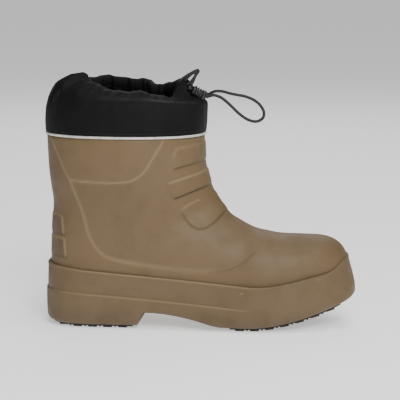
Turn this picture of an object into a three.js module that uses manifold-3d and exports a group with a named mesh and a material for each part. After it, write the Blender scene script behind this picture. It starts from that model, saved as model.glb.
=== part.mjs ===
// A low pull-on winter boot, right foot: a moulded foam upper and cup sole on rubber treads, with a
// gathered fabric gaiter, its cord lock and its elastic drawcord.
// Millimetres. +X points to the toe, +Y to the wearer's left (the inner side), +Z up. The origin is
// under the middle of the boot, on the floor.
import * as THREE from 'three';
import { mergeVertices } from 'three/addons/utils/BufferGeometryUtils.js';
import Module from 'manifold-3d';

const wasm = await Module();
wasm.setup();

// Sizes of the last and the upper
const FOOT_LENGTH = 310; // heel to toe along the sole's side
const BALL_WIDTH = 96; // the upper over the ball of the foot
const COLLAR_WIDTH = 112; // the shaft, side to side
const RIM_HEIGHT = 190.5; // the shoulder that the gaiter stands on
const INSTEP_HEIGHT = 120; // where the vamp turns up into the shaft
const UPPER_WALL = 4;
const PANEL_STEP = 1.1; // how far the raised panels stand out of the wall
const LIP_HEIGHT = 9; // the thin lip inside the gaiter
const LIP_INSET = 2.6; // the lip stands this far inside the shaft's surface
const LIP_ROOT = 12; // how far the lip's solid runs down inside the shaft

// Sizes of the sole
const HEEL_STACK = 28; // from the floor to the cup's floor under the heel
const FORE_STACK = 18; // the same under the ball
const TOE_SPRING = 27;
const ARCH_RISE = 17;
const HEEL_FEATHER = 62; // height of the foxing wall at the heel
const BALL_FEATHER = 45;
const TOE_FEATHER = 70;
const FOXING = 4.5; // how far the foxing wall stands out of the upper
const TOE_FOXING = 1.2; // the same at the top of the toe, where the wall leans back
const BAND_STEP = 1.3; // the lower band of the foxing stands out by this
const HEEL_BAND = 36.5; // height of that band at the heel
const BALL_BAND = 21.5;
const EDGE_LEFT = 1.7; // the least that the wall's top edge stands out of the upper
const SOLE_EDGE = 6.5; // rounding of the sole's lower edge
const TREAD = 3.4; // lugs and plate together
const TREAD_PLATE = 1.4;
const INSOLE = 5;
const GAP = 0.3; // between pieces that touch

// Sizes of the gaiter and what is on it
const GAITER_HEIGHT = 56;
const GAITER_FALL = 7; // how much lower its hem is at the front
const GAITER_WALL = 1.2;
const OPENING_LENGTH = 92;
const OPENING_WIDTH = 58;
const GATHERS = 15;
const GATHER_DEPTH = 1.5;
const PIPING = 3;
const CORD = 2.7;
const THIN_CORD = 1.6;
const LOCK_LENGTH = 14;
const LOCK_WIDTH = 13;
const LOCK_HEIGHT = 10;
const BUTTON_LENGTH = 4.5;

const SIDES = 28; // points round a section of the upper
const INNER_SIDES = 22;
const ROUND = 66; // points round the sole's outline

const colour = {
  foam: new THREE.MeshStandardMaterial({ color: 0x85714f, roughness: 0.62, metalness: 0 }),
  tread: new THREE.MeshStandardMaterial({ color: 0x2b2622, roughness: 0.8, metalness: 0 }),
  felt: new THREE.MeshStandardMaterial({ color: 0x4a4a4c, roughness: 0.95, metalness: 0 }),
  cloth: new THREE.MeshStandardMaterial({ color: 0x232224, roughness: 0.85, metalness: 0 }),
  tape: new THREE.MeshStandardMaterial({ color: 0xc9c4bc, roughness: 0.5, metalness: 0 }),
  plastic: new THREE.MeshStandardMaterial({ color: 0x1d1b1c, roughness: 0.35, metalness: 0 }),
};

const clamp = (v, low, high) => Math.min(Math.max(v, low), high);

function ease(low, high, v) {
  const t = clamp((v - low) / (high - low), 0, 1);
  return t * t * (3 - 2 * t);
}

// Side profile of the sole, as heights over the floor at a place x along the foot
const BREAST = 0.309 * FOOT_LENGTH; // front of the heel
const ARCH_TOP = 0.326 * FOOT_LENGTH;
const ARCH_END = 0.6 * FOOT_LENGTH;
const BALL = 0.675 * FOOT_LENGTH; // where the toe spring starts and the foxing is lowest

function springAt(x) {
  return TOE_SPRING * clamp((x - BALL) / (FOOT_LENGTH - BALL), 0, 1.1) ** 1.6;
}

function archAt(x) {
  return ARCH_RISE * (1 - clamp((x - ARCH_TOP) / (ARCH_END - ARCH_TOP), 0, 1) ** 2);
}

function footbedAt(x) {
  return FORE_STACK + (HEEL_STACK - FORE_STACK) * (1 - ease(ARCH_TOP, ARCH_END, x)) + springAt(x);
}

function undersideAt(x) {
  return springAt(x) + TREAD;
}

function featherAt(x) {
  const t = clamp(x / BALL, 0, 1);
  const back = HEEL_FEATHER + (BALL_FEATHER - HEEL_FEATHER) * t;
  return back + (TOE_FEATHER - BALL_FEATHER) * clamp((x - BALL) / (0.975 * FOOT_LENGTH - BALL), 0, 1) ** 1.9;
}

function bandAt(x) {
  const t = clamp(x / BALL, 0, 1) ** 1.2;
  return HEEL_BAND + (BALL_BAND - HEEL_BAND) * t + springAt(x);
}

// The last: sections in planes that turn from level, in the shaft, to upright, at the toe.
// frontX and backX are shares of the foot's length. front is a level: up to 1 it is a share of the
// instep's height, and from 1 to 2 it runs on to the rim. back is the height over the footbed, as a
// share of the heel's reach to the rim. side and half are shares of half the ball's width, and
// collar is a share of half the collar's width that is added to half. wide is the widest level as a
// share of the way from back to front, and squareF and squareB say how square each half is.
const COLUMNS = ['frontX', 'front', 'backX', 'back', 'side', 'half', 'collar', 'wide', 'squareF', 'squareB'];
const SECTIONS = [
  [0.512, 2.28, 0.003, 1.122, 0.0, 0.0, 1.0, 0.5, 2.25, 2.25], // inside the gaiter
  [0.513, 1.92, 0.005, 0.963, 0.0, 0.0, 1.0, 0.5, 2.25, 2.25], // collar
  [0.516, 1.63, 0.008, 0.829, 0.0, 0.1, 0.9, 0.5, 2.25, 2.25], // shaft
  [0.525, 1.44, 0.018, 0.567, 0.0, 0.35, 0.63, 0.49, 2.25, 2.3], // over the ankle
  [0.538, 1.26, 0.016, 0.323, 0.0, 0.6, 0.35, 0.47, 2.25, 2.35], // ankle
  [0.548, 1.175, 0.0145, 0.152, 0.0, 0.74, 0.18, 0.45, 2.2, 2.5], // heel
  [0.559, 1.09, 0.034, 0.02, -0.01, 0.85, 0.05, 0.42, 2.2, 3.0], // heel seat
  [0.58, 0.982, 0.232, 0.0, -0.03, 0.87, 0.0, 0.4, 2.2, 3.6], // waist
  [0.618, 0.897, 0.403, 0.0, -0.04, 0.87, 0.0, 0.38, 2.25, 4.0], // arch
  [0.661, 0.828, 0.539, 0.0, -0.02, 0.925, 0.0, 0.36, 2.3, 4.0], // instep
  [0.711, 0.784, 0.658, 0.0, 0.01, 0.99, 0.0, 0.35, 2.4, 4.0], // ball
  [0.758, 0.758, 0.758, 0.0, 0.045, 0.985, 0.0, 0.35, 2.45, 4.0], // vamp
  [0.829, 0.75, 0.823, 0.0, 0.085, 0.925, 0.0, 0.37, 2.5, 3.8], // toes
  [0.89, 0.742, 0.882, 0.0, 0.12, 0.8, 0.0, 0.4, 2.5, 3.4],
  [0.929, 0.712, 0.929, 0.0, 0.14, 0.655, 0.0, 0.44, 2.45, 3.0],
  [0.955, 0.66, 0.96, 0.005, 0.152, 0.495, 0.0, 0.48, 2.35, 2.6],
  [0.972, 0.585, 0.98, 0.04, 0.158, 0.3, 0.0, 0.5, 2.2, 2.2],
  [0.985, 0.49, 0.986, 0.075, 0.16, 0.0, 0.0, 0.5, 2.0, 2.0], // tip
];
const TIP = SECTIONS.length - 1;
const INNER_SECTIONS = Math.round(1.5 * TIP);
const SINK = 3 * UPPER_WALL; // how far the hollow runs on below the last, so that it opens underneath

function levelZ(level) {
  const foot = Math.min(level, 1) * INSTEP_HEIGHT;
  return foot + Math.max(level - 1, 0) * (RIM_HEIGHT - INSTEP_HEIGHT);
}

function smooth(values, s) {
  const i = clamp(Math.floor(s), 0, values.length - 2);
  const t = s - i;
  const [a, b, c, d] = [-1, 0, 1, 2].map((k) => values[clamp(i + k, 0, values.length - 1)]);
  return b + 0.5 * t * (c - a + t * (2 * a - 5 * b + 4 * c - d + t * (3 * (b - c) + d - a)));
}

function sectionAt(s) {
  const row = {};
  COLUMNS.forEach((name, k) => (row[name] = smooth(SECTIONS.map((r) => r[k]), s)));
  const backX = row.backX * FOOT_LENGTH;
  const reach = RIM_HEIGHT - HEEL_STACK;
  return {
    ...row,
    front: new THREE.Vector3(row.frontX * FOOT_LENGTH, 0, levelZ(row.front)),
    back: new THREE.Vector3(backX, 0, footbedAt(backX) + row.back * reach),
    middle: (row.side * BALL_WIDTH) / 2,
    half: Math.max((row.half * BALL_WIDTH + row.collar * COLLAR_WIDTH) / 2, 0.01),
  };
}

// A point of the last: angle 0 is the inner side, a quarter turn the front, three quarters the back.
function pointOf(section, angle) {
  const cos = Math.cos(angle);
  const sin = Math.sin(angle);
  const square = sin > 0 ? section.squareF : section.squareB;
  const r = (Math.abs(cos) ** square + Math.abs(sin) ** square) ** (-1 / square);
  const reach = sin > 0 ? 1 - section.wide : section.wide;
  const p = section.back.clone().lerp(section.front, section.wide + reach * r * sin);
  p.y = section.middle + section.half * r * cos;
  return p;
}

// The same surface moved out by offset, or in where that is negative. sink lowers its bottom.
function lastPoint(s, angle, offset = 0, sink = 0) {
  const near = Math.min(s, TIP - 0.04);
  const p = pointOf(sectionAt(s), angle);
  if (offset !== 0) {
    const along = pointOf(sectionAt(near + 0.02), angle).sub(pointOf(sectionAt(near - 0.02), angle));
    const around = pointOf(sectionAt(near), angle + 0.02).sub(pointOf(sectionAt(near), angle - 0.02));
    p.addScaledVector(along.cross(around).normalize(), -offset);
  }
  if (sink !== 0) p.z -= sink * ease(4.9, 6.2, s) * Math.max(0, -Math.sin(angle)) ** 0.7;
  return p;
}

function mesh(points, faces) {
  const geometry = new THREE.BufferGeometry();
  geometry.setAttribute('position', new THREE.Float32BufferAttribute(points.flatMap((p) => p.toArray()), 3));
  geometry.setIndex(faces.flat());
  return geometry;
}

// A closed skin over rings of points, all with as many points, that ends in a point at each end.
// The rings run anticlockwise, seen from the end they go towards.
function loft(rings, start, end) {
  const n = rings[0].length;
  const points = rings.flat();
  const faces = [];
  for (let k = 0; k + 1 < rings.length; k++) {
    for (let i = 0; i < n; i++) {
      const [a, b] = [k * n + i, k * n + ((i + 1) % n)];
      faces.push([a, b, b + n], [a, b + n, a + n]);
    }
  }
  const top = (rings.length - 1) * n;
  points.push(start ?? centreOf(rings[0]), end ?? centreOf(rings[rings.length - 1]));
  for (let i = 0; i < n; i++) {
    const j = (i + 1) % n;
    faces.push([points.length - 2, j, i], [points.length - 1, top + i, top + j]);
  }
  return mesh(points, faces);
}

// The same, with both ends closed by cross strips between the ring's two sides.
function slab(rings) {
  const n = rings[0].length;
  const faces = [];
  for (let k = 0; k + 1 < rings.length; k++) {
    for (let i = 0; i < n; i++) {
      const [a, b] = [k * n + i, k * n + ((i + 1) % n)];
      faces.push([a, b, b + n], [a, b + n, a + n]);
    }
  }
  const top = (rings.length - 1) * n;
  for (let i = 0; i < n / 2; i++) {
    const strip = [i, i + 1, n - 1 - i, (n - i) % n];
    const corners = i === 0 ? [[0, 1, n - 1]] : [[strip[0], strip[1], strip[2]], [strip[0], strip[2], strip[3]]];
    corners
      .filter((f) => new Set(f).size === 3)
      .forEach(([a, b, c]) => faces.push([c, b, a], [top + a, top + b, top + c]));
  }
  return mesh(rings.flat(), faces);
}

// Rings that close on themselves both ways, such as a cuff or a piping.
function hoop(rings) {
  const n = rings[0].length;
  const faces = [];
  rings.forEach((_, k) => {
    const next = (k + 1) % rings.length;
    for (let i = 0; i < n; i++) {
      const j = (i + 1) % n;
      faces.push([k * n + i, k * n + j, next * n + j], [k * n + i, next * n + j, next * n + i]);
    }
  });
  return mesh(rings.flat(), faces);
}

function centreOf(ring) {
  return ring.reduce((sum, p) => sum.add(p), new THREE.Vector3()).divideScalar(ring.length);
}

function solid(geometry) {
  geometry.deleteAttribute('normal');
  geometry.deleteAttribute('uv');
  const merged = mergeVertices(geometry, 1e-4);
  const made = new wasm.Manifold(
    new wasm.Mesh({
      numProp: 3,
      vertProperties: new Float32Array(merged.attributes.position.array),
      triVerts: new Uint32Array(merged.index.array),
    }),
  );
  return made;
}

function geometryOf(made) {
  const { vertProperties, triVerts } = made.getMesh();
  const geometry = new THREE.BufferGeometry();
  geometry.setAttribute('position', new THREE.Float32BufferAttribute(vertProperties, 3));
  geometry.setIndex([...triVerts]);
  return geometry;
}

function slabBetween(low, high) {
  const size = 2 * FOOT_LENGTH;
  return solid(new THREE.BoxGeometry(size, size, high - low).translate(0, 0, (low + high) / 2));
}

// A prism through the boot from side to side, with its outline seen from the side.
function sidePrism(outline) {
  const shape = new THREE.Shape(outline.map(([x, z]) => new THREE.Vector2(x, z)));
  const geometry = new THREE.ExtrudeGeometry(shape, { depth: 2 * BALL_WIDTH, bevelEnabled: false });
  return solid(geometry.rotateX(Math.PI / 2).translate(0, BALL_WIDTH, 0));
}

function lastForm(offset = 0, sink = 0, sides = SIDES, sections = 2 * TIP) {
  const angles = Array.from({ length: sides }, (_, i) => (2 * Math.PI * (i + 0.5)) / sides);
  const rings = [];
  for (let k = 0; k < sections; k++) {
    rings.push(angles.map((a) => lastPoint((k * TIP) / sections, a, offset, sink)));
  }
  const tip = pointOf(sectionAt(TIP), 0);
  tip.x += offset;
  return solid(loft(rings, undefined, tip));
}

// Raised panels of the upper: outlines seen from the side, as shares of length and rim height
const PANELS = {
  collarPocket: [[0.026, 0.972], [0.088, 0.771], [0.276, 0.763], [0.319, 0.807], [0.358, 0.868], [0.381, 0.938], [0.394, 0.972]],
  shinUpper: [[0.435, 0.94], [0.56, 0.935], [0.56, 0.868], [0.5, 0.862], [0.432, 0.838], [0.428, 0.88]],
  shinLower: [[0.42, 0.768], [0.5, 0.79], [0.56, 0.812], [0.56, 0.75], [0.5, 0.722], [0.433, 0.684], [0.42, 0.72]],
  instep: [[0.501, 0.668], [0.456, 0.63], [0.453, 0.6], [0.483, 0.54], [0.511, 0.52], [0.538, 0.533], [0.6, 0.6], [0.58, 0.668]],
  heelUpper: [[-0.03, 0.573], [0.058, 0.573], [0.064, 0.48], [-0.03, 0.48]],
  heelLower: [[-0.03, 0.45], [0.066, 0.45], [0.072, 0.352], [-0.03, 0.352]],
};

function makeUpper() {
  const raised = lastForm(PANEL_STEP);
  let body = lastForm();
  for (const outline of Object.values(PANELS)) {
    const prism = sidePrism(outline.map(([x, z]) => [x * FOOT_LENGTH, z * RIM_HEIGHT]));
    body = body.add(raised.intersect(prism));
  }
  const below = slabBetween(-RIM_HEIGHT, RIM_HEIGHT);
  const lip = lastForm(-LIP_INSET).intersect(slabBetween(RIM_HEIGHT - LIP_ROOT, RIM_HEIGHT + LIP_HEIGHT));
  return body.intersect(below).add(lip).subtract(lastForm(-UPPER_WALL, SINK, INNER_SIDES, INNER_SECTIONS));
}

// The last's outline at a height, heel to toe along one side and back along the other
function girth(heightAt) {
  const side = (sign) => {
    const crossing = (s) => {
      const section = sectionAt(s);
      let [low, high] = [-Math.PI / 2, Math.PI / 2];
      for (let k = 0; k < 30; k++) {
        const middle = (low + high) / 2;
        const p = pointOf(section, sign > 0 ? middle : Math.PI - middle);
        if (p.z < heightAt(p.x)) low = middle;
        else high = middle;
      }
      return pointOf(section, sign > 0 ? low : Math.PI - low);
    };
    const first = rootOf('back', heightAt, 2, 7);
    const last = rootOf('front', heightAt, 12, TIP);
    return Array.from({ length: ROUND + 1 }, (_, k) =>
      crossing(first + ((last - first) * (1 - Math.cos((Math.PI * k) / ROUND))) / 2),
    );
  };
  const outer = side(-1);
  const inner = side(1);
  return new THREE.CatmullRomCurve3([...outer, ...inner.slice(1, -1).reverse()], true);
}

// Where the last's back or front line passes a height, between two sections
function rootOf(line, heightAt, from, to) {
  const under = (s) => {
    const p = sectionAt(s)[line];
    return p.z > heightAt(p.x);
  };
  let [low, high] = [from, to];
  if (under(high)) return high;
  for (let k = 0; k < 30; k++) {
    const middle = (low + high) / 2;
    if (under(middle)) low = middle;
    else high = middle;
  }
  return low;
}

const BASE_DROP = 13; // how far under the feather line the sole's own outline is taken
const outlines = [
  girth((x) => featherAt(x) - BASE_DROP).getSpacedPoints(ROUND).slice(0, ROUND),
  girth(featherAt).getSpacedPoints(ROUND).slice(0, ROUND),
];

// A ring of the sole: share goes from the base outline, 0, to the feather line, 1.
function soleRing(share, outset, heightAt) {
  const line = outlines[0].map((p, i) => p.clone().lerp(outlines[1][i], share));
  return line.map((p, i) => {
    const tangent = line[(i + 1) % ROUND].clone().sub(line[(i + ROUND - 1) % ROUND]);
    const out = new THREE.Vector3(tangent.y, -tangent.x, 0).normalize();
    const q = p.clone().addScaledVector(out, typeof outset === 'function' ? outset(p.x) : outset);
    q.z = heightAt(q.x);
    return q;
  });
}

function foxingAt(x, lean) {
  return FOXING + (TOE_FOXING - FOXING) * lean * ease(0.85 * FOOT_LENGTH, 0.98 * FOOT_LENGTH, x);
}

function bandStepAt(x) {
  return BAND_STEP * (1 - ease(0.64 * FOOT_LENGTH, 0.76 * FOOT_LENGTH, x));
}

function makeSole() {
  const rings = [];
  for (const turn of [0, 0.35, 0.7, 1]) {
    const angle = (turn * Math.PI) / 2;
    const inset = SOLE_EDGE * (1 - Math.sin(angle));
    const rise = SOLE_EDGE * (1 - Math.cos(angle));
    rings.push(soleRing(0, (x) => foxingAt(x, 0) - inset, (x) => undersideAt(x) + rise));
  }
  // Each row: share of the way to the feather line, inset, height over the band as a share of the
  // wall above it, whether the band's step is in it, and how far it leans back at the toe.
  const wall = [
    [0.0, -0.4, 0.0, 0, 0.5],
    [0.1, -0.4, 0.06, 1, 0.55],
    [0.7, 0.1, 0.8, 1, 0.9],
    [0.92, 0.8, 0.96, 1, 1],
    [1, 2.1, 1, 1, 1],
  ];
  for (const [share, inset, rise, stepped, lean] of wall) {
    rings.push(
      soleRing(
        share,
        (x) => Math.max(foxingAt(x, lean) - stepped * bandStepAt(x) - inset, EDGE_LEFT),
        (x) => bandAt(x) + rise * (featherAt(x) - bandAt(x)),
      ),
    );
  }
  return solid(slab(rings)).subtract(lastForm(GAP)).subtract(sidePrism(archOutline()));
}

// The hollow between the heel's front and the forefoot
function archOutline() {
  const steps = 12;
  const curve = Array.from({ length: steps + 1 }, (_, k) => {
    const x = ARCH_TOP + ((ARCH_END - ARCH_TOP) * k) / steps;
    return [x, archAt(x)];
  });
  return [[BREAST, -TREAD], [BREAST, TREAD], [ARCH_TOP - 1.5, ARCH_RISE - 1.5], ...curve, [ARCH_END, -TREAD]];
}

function makeInsole() {
  const rings = [-INSOLE, INSOLE].map((rise) => soleRing(0, 2, (x) => footbedAt(x) + rise));
  const inside = lastForm(-(UPPER_WALL + 1.3 * GAP), SINK, INNER_SIDES, INNER_SECTIONS);
  return solid(slab(rings)).intersect(inside).intersect(lastForm());
}

// The tread follows the sole's underside between two places along the foot.
function widthAt(x) {
  const near = (side) => {
    const list = outlines[0].filter((_, i) => (side < 0 ? i <= ROUND / 2 : i >= ROUND / 2 || i === 0));
    const sorted = list.sort((a, b) => a.x - b.x);
    const k = clamp(sorted.findIndex((p) => p.x > x), 1, sorted.length - 1);
    const [a, b] = [sorted[k - 1], sorted[k]];
    const t = clamp((x - a.x) / (b.x - a.x || 1), 0, 1);
    return a.y + (b.y - a.y) * t;
  };
  return [near(-1), near(1)];
}

function plateSolid(from, to, cells) {
  const margin = SOLE_EDGE - FOXING + 1.5;
  const outer = [];
  const inner = [];
  for (let k = 0; k <= cells; k++) {
    const x = from + ((to - from) * k) / cells;
    const [low, high] = widthAt(x);
    const z = springAt(x) + TREAD - GAP;
    outer.push(new THREE.Vector3(x, low + margin, z));
    inner.unshift(new THREE.Vector3(x, high - margin, z));
  }
  const top = [...outer, ...inner];
  const n = top.length;
  const points = [...top.map((p) => p.clone().setZ(p.z - TREAD_PLATE)), ...top];
  const faces = [];
  for (let i = 0; i < n; i++) {
    const j = (i + 1) % n;
    faces.push([i, j, j + n], [i, j + n, i + n]);
  }
  for (let i = 0; i + 1 < n / 2; i++) {
    const [a, b, c, d] = [i, i + 1, n - 2 - i, n - 1 - i];
    faces.push([c, b, a], [d, c, a], [a + n, b + n, c + n], [a + n, c + n, d + n]);
  }
  return solid(mesh(points, faces));
}

// One lug, tapered, that stands on the floor line and reaches into the plate
function lug(x, y, length, width, turn) {
  const geometry = new THREE.BoxGeometry(length, width, TREAD - GAP - 0.4 * TREAD_PLATE);
  const place = geometry.attributes.position;
  for (let i = 0; i < place.count; i++) {
    const low = place.getZ(i) < 0;
    const narrow = low ? 0.86 : 1;
    const p = new THREE.Vector3(place.getX(i) * narrow, place.getY(i) * narrow, 0);
    p.applyAxisAngle(new THREE.Vector3(0, 0, 1), turn);
    const [px, py] = [p.x + x, p.y + y];
    place.setXYZ(i, px, py, springAt(px) + (low ? 0 : TREAD - GAP - 0.4 * TREAD_PLATE));
  }
  return solid(geometry);
}

const LUG_PITCH = 14;
const LUG_LENGTH = 9.5;
const LUG_WIDTH = 13;

function makeTread(from, to) {
  const cells = Math.max(6, Math.round((to - from) / 9));
  let body = plateSolid(from, to, cells);
  const count = Math.floor((to - from - 5) / LUG_PITCH);
  const pitch = (to - from - 5) / count;
  for (let k = 0; k < count; k++) {
    const x = from + 2.5 + pitch * (k + 0.5);
    const [low, high] = widthAt(x);
    const [lowEnd, highEnd] = [-1, 1].map((e) => widthAt(x + (e * LUG_LENGTH) / 2));
    const outer = Math.max(low, lowEnd[0], highEnd[0]) + SOLE_EDGE - FOXING + 1.7;
    const inner = Math.min(high, lowEnd[1], highEnd[1]) - SOLE_EDGE + FOXING - 1.7;
    const bars = clamp(Math.round((inner - outer) / LUG_WIDTH), 3, 5);
    const width = (inner - outer - 3 * (bars - 1)) / bars;
    for (let b = 0; b < bars; b++) {
      const edge = b === 0 || b === bars - 1;
      const turn = edge ? 0 : (b < (bars - 1) / 2 ? 1 : -1) * 0.22;
      body = body.add(lug(x, outer + width / 2 + b * (width + 3), LUG_LENGTH, edge ? width : 0.9 * width, turn));
    }
  }
  return body;
}

// The gaiter: an oval cuff that slips over the lip and is gathered at its top. Each row is one oval:
// its height as a share of the gaiter's, how far its back, front and sides lie inside the lowest
// one, as shares of the collar's width, and how much of the gathers' depth it has.
const CUFF = [
  [0.0, 0.0, 0.0, 0.0, 0.0],
  [0.07, 0.0, 0.0, 0.0, 0.0],
  [0.12, -0.024, -0.018, -0.022, 0.2],
  [0.27, -0.026, -0.024, -0.03, 0.4],
  [0.48, -0.012, -0.016, -0.026, 0.6],
  [0.65, 0.022, 0.086, 0.0, 0.7],
  [0.81, 0.084, 0.13, 0.052, 1.0],
  [0.93, 0.155, 0.178, 0.118, 1.0],
  [1.0, 0.235, 0.205, 0.175, 0.8],
];
const CUFF_SIDES = 48;
const COLLAR_SQUARE = SECTIONS[1][COLUMNS.indexOf('squareF')];
const collar = sectionAt(rootOf('front', () => RIM_HEIGHT, 0, 2));
const cuffInset = LIP_INSET - GAP - GAITER_WALL; // of the cuff's lowest oval, from the shaft's surface

function oval(z, back, front, half, gather, grow = 0) {
  return Array.from({ length: CUFF_SIDES }, (_, i) => {
    const a = (2 * Math.PI * i) / CUFF_SIDES;
    const wave = GATHER_DEPTH * gather * Math.cos(GATHERS * a + 1.3 * Math.sin(3 * a));
    const r = (Math.abs(Math.cos(a)) ** COLLAR_SQUARE + Math.abs(Math.sin(a)) ** COLLAR_SQUARE) ** (-1 / COLLAR_SQUARE);
    const x = (back + front) / 2 + ((front - back) / 2 + grow + wave) * r * Math.cos(a);
    const fall = GAITER_FALL * ease(RIM_HEIGHT + 0.5 * GAITER_HEIGHT, RIM_HEIGHT + GAITER_HEIGHT, z);
    const forward = (x - collar.back.x) / (collar.front.x - collar.back.x);
    return new THREE.Vector3(x, (half + grow + wave) * r * Math.sin(a), z - fall * forward);
  });
}

function cuffRow([rise, back, front, side, gather]) {
  return [
    RIM_HEIGHT + GAP + rise * GAITER_HEIGHT,
    collar.back.x + cuffInset + back * COLLAR_WIDTH,
    collar.front.x - cuffInset - front * COLLAR_WIDTH,
    collar.half - cuffInset - side * COLLAR_WIDTH,
    gather,
  ];
}

function makeGaiter() {
  const rows = CUFF.map(cuffRow);
  const outer = rows.map((row) => oval(...row));
  const inner = rows.map(([z, ...rest], k) => {
    const slope = Math.max(k - 5, 0) / 3;
    return oval(z - 1.6 * slope * GAITER_WALL, ...rest, -GAITER_WALL);
  });
  const [top, back, front] = rows.at(-1);
  const hem = (z, grow) => {
    const middle = (back + front) / 2;
    const length = OPENING_LENGTH / 2 + grow;
    return oval(z, middle - length, middle + length, OPENING_WIDTH / 2 + grow, 0.7);
  };
  return hoop([...outer, hem(top + 0.6, 3), hem(top - 2, 0), hem(top - 4, 1.6), ...inner.reverse()]);
}

function makePiping() {
  const [, back, front, half] = cuffRow(CUFF[0]);
  const rings = Array.from({ length: 6 }, (_, k) => {
    const a = (2 * Math.PI * (k + 0.5)) / 6;
    const grow = GAP + (PIPING / 2) * (1 + Math.cos(a));
    return oval(RIM_HEIGHT + GAP + (PIPING / 2) * (1 + Math.sin(a)), back, front, half, 0, grow);
  });
  return hoop(rings);
}

function tube(points, diameter, steps) {
  const sides = 8;
  const circle = Array.from({ length: sides }, (_, k) => {
    const a = (2 * Math.PI * k) / sides;
    return new THREE.Vector2((diameter / 2) * Math.cos(a), (diameter / 2) * Math.sin(a));
  });
  const route = points.map((p) => new THREE.Vector3(...p).add(shoulder));
  const path = new THREE.CatmullRomCurve3(route, false, 'centripetal');
  return new THREE.ExtrudeGeometry(new THREE.Shape(circle), { steps, extrudePath: path, bevelEnabled: false });
}

// The lock and the cords keep to the front of the gaiter's shoulder.
const SHOULDER_RISE = 0.73; // as a share of the gaiter's height
const shoulder = new THREE.Vector3(collar.front.x, 0, RIM_HEIGHT + SHOULDER_RISE * GAITER_HEIGHT);

// The drawcord's route out of the lock, round its end and back into the lock
const DRAWCORD = [
  [2.9, -3, -2.2], [6.2, -3.1, 0.2], [11.5, -3.4, 2.2], [18.5, -3.9, 2], [25.6, -4.4, 0.2],
  [33, -4.8, -1.2], [40.5, -5.1, -2.5], [49, -5.4, -5.8], [55.5, -5.6, -11], [59.3, -5.8, -17.8],
  [58.2, -6, -23.8], [52, -6.1, -27.2], [43.5, -6.2, -25.4], [34.5, -6.2, -19.3], [25.4, -6.2, -10.6],
  [17.5, -6.2, -4.2], [10.5, -6.2, -1.6], [5.2, -6.2, -2.5], [2.1, -6.2, -3.7],
];

// The thin loop that stands on the hem at the front
const KEEPER = [
  [-25, -3, 11.6], [-23, -2.9, 13.4], [-20.8, -2.8, 15.1], [-18.2, -2.7, 16.9], [-15.5, -2.6, 18.6],
  [-12.7, -2.5, 20.2], [-10, -2.4, 21.6], [-8, -2.3, 22.5], [-6.6, -2.3, 22.9], [-5.8, -2.3, 21.8],
  [-6.6, -2.3, 20.2], [-7.8, -2.3, 18.7], [-9.1, -2.35, 17], [-10.4, -2.4, 15.2], [-11.7, -2.5, 13.5],
  [-13.3, -2.6, 11.6], [-15.1, -2.7, 9.8], [-17, -2.8, 8.2],
];

// The cord lock lies on the front shoulder of the gaiter, with its cord end towards the toe.
const LOCK_PLACE = shoulder.clone().add(new THREE.Vector3(-5.5, -4.5, 0.1));
const LOCK_TILT = 0.55;

function makeLockBody() {
  const half = LOCK_HEIGHT / 2;
  const shape = new THREE.Shape();
  const ribs = 3;
  const pitch = (LOCK_LENGTH - 4) / ribs;
  shape.moveTo(-LOCK_LENGTH / 2, -half + 1.5);
  shape.lineTo(-LOCK_LENGTH / 2 + 1.5, -half);
  shape.lineTo(LOCK_LENGTH / 2 - 1.5, -half);
  shape.lineTo(LOCK_LENGTH / 2, -half + 2);
  shape.lineTo(LOCK_LENGTH / 2, half - 2.5);
  for (let k = 0; k < ribs; k++) {
    const x = LOCK_LENGTH / 2 - 2 - k * pitch;
    shape.lineTo(x, half);
    shape.lineTo(x - 0.5 * pitch, half);
    shape.lineTo(x - 0.62 * pitch, half - 1.1);
    shape.lineTo(x - 0.88 * pitch, half - 1.1);
  }
  shape.lineTo(-LOCK_LENGTH / 2, half - 2);
  const geometry = new THREE.ExtrudeGeometry(shape, {
    depth: LOCK_WIDTH - 2,
    bevelEnabled: true,
    bevelThickness: 1,
    bevelSize: 0.8,
    bevelOffset: -0.8,
    bevelSegments: 1,
  });
  return geometry.translate(0, 0, 1 - LOCK_WIDTH / 2).rotateX(Math.PI / 2);
}

function makeLockButton() {
  const [w, h] = [LOCK_WIDTH - 3.5, LOCK_HEIGHT - 3];
  const shape = new THREE.Shape();
  shape.absellipse(0, 0, w / 2, h / 2, 0, 2 * Math.PI);
  const geometry = new THREE.ExtrudeGeometry(shape, {
    depth: BUTTON_LENGTH - 2,
    bevelEnabled: true,
    bevelThickness: 1,
    bevelSize: 1,
    bevelOffset: -1,
    bevelSegments: 1,
    curveSegments: 8,
  });
  geometry.rotateY(-Math.PI / 2).rotateX(Math.PI / 2);
  return geometry.translate(-LOCK_LENGTH / 2 - GAP - 1, 0, 0);
}

const boot = new THREE.Group();
boot.name = 'boot';

function place(name, geometry, material) {
  const piece = new THREE.Mesh(geometry, material);
  piece.name = name;
  boot.add(piece);
  return piece;
}

place('upper', geometryOf(makeUpper()), colour.foam);
place('sole', geometryOf(makeSole()), colour.foam);
place('insole', geometryOf(makeInsole()), colour.felt);
place('outsole_heel', geometryOf(makeTread(0.032 * FOOT_LENGTH, BREAST - 5)), colour.tread);
place('outsole_forefoot', geometryOf(makeTread(ARCH_END + 2, 0.955 * FOOT_LENGTH)), colour.tread);
place('gaiter', makeGaiter(), colour.cloth);
place('piping', makePiping(), colour.tape);
for (const [name, geometry] of [
  ['cord_lock_body', makeLockBody()],
  ['cord_lock_plunger', makeLockButton()],
]) {
  const piece = place(name, geometry, colour.plastic);
  piece.position.copy(LOCK_PLACE);
  piece.rotation.y = LOCK_TILT;
}
place('drawcord_loop', tube(DRAWCORD, CORD, 30), colour.cloth);
place('keeper_loop', tube(KEEPER, THIN_CORD, 16), colour.cloth);

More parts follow.
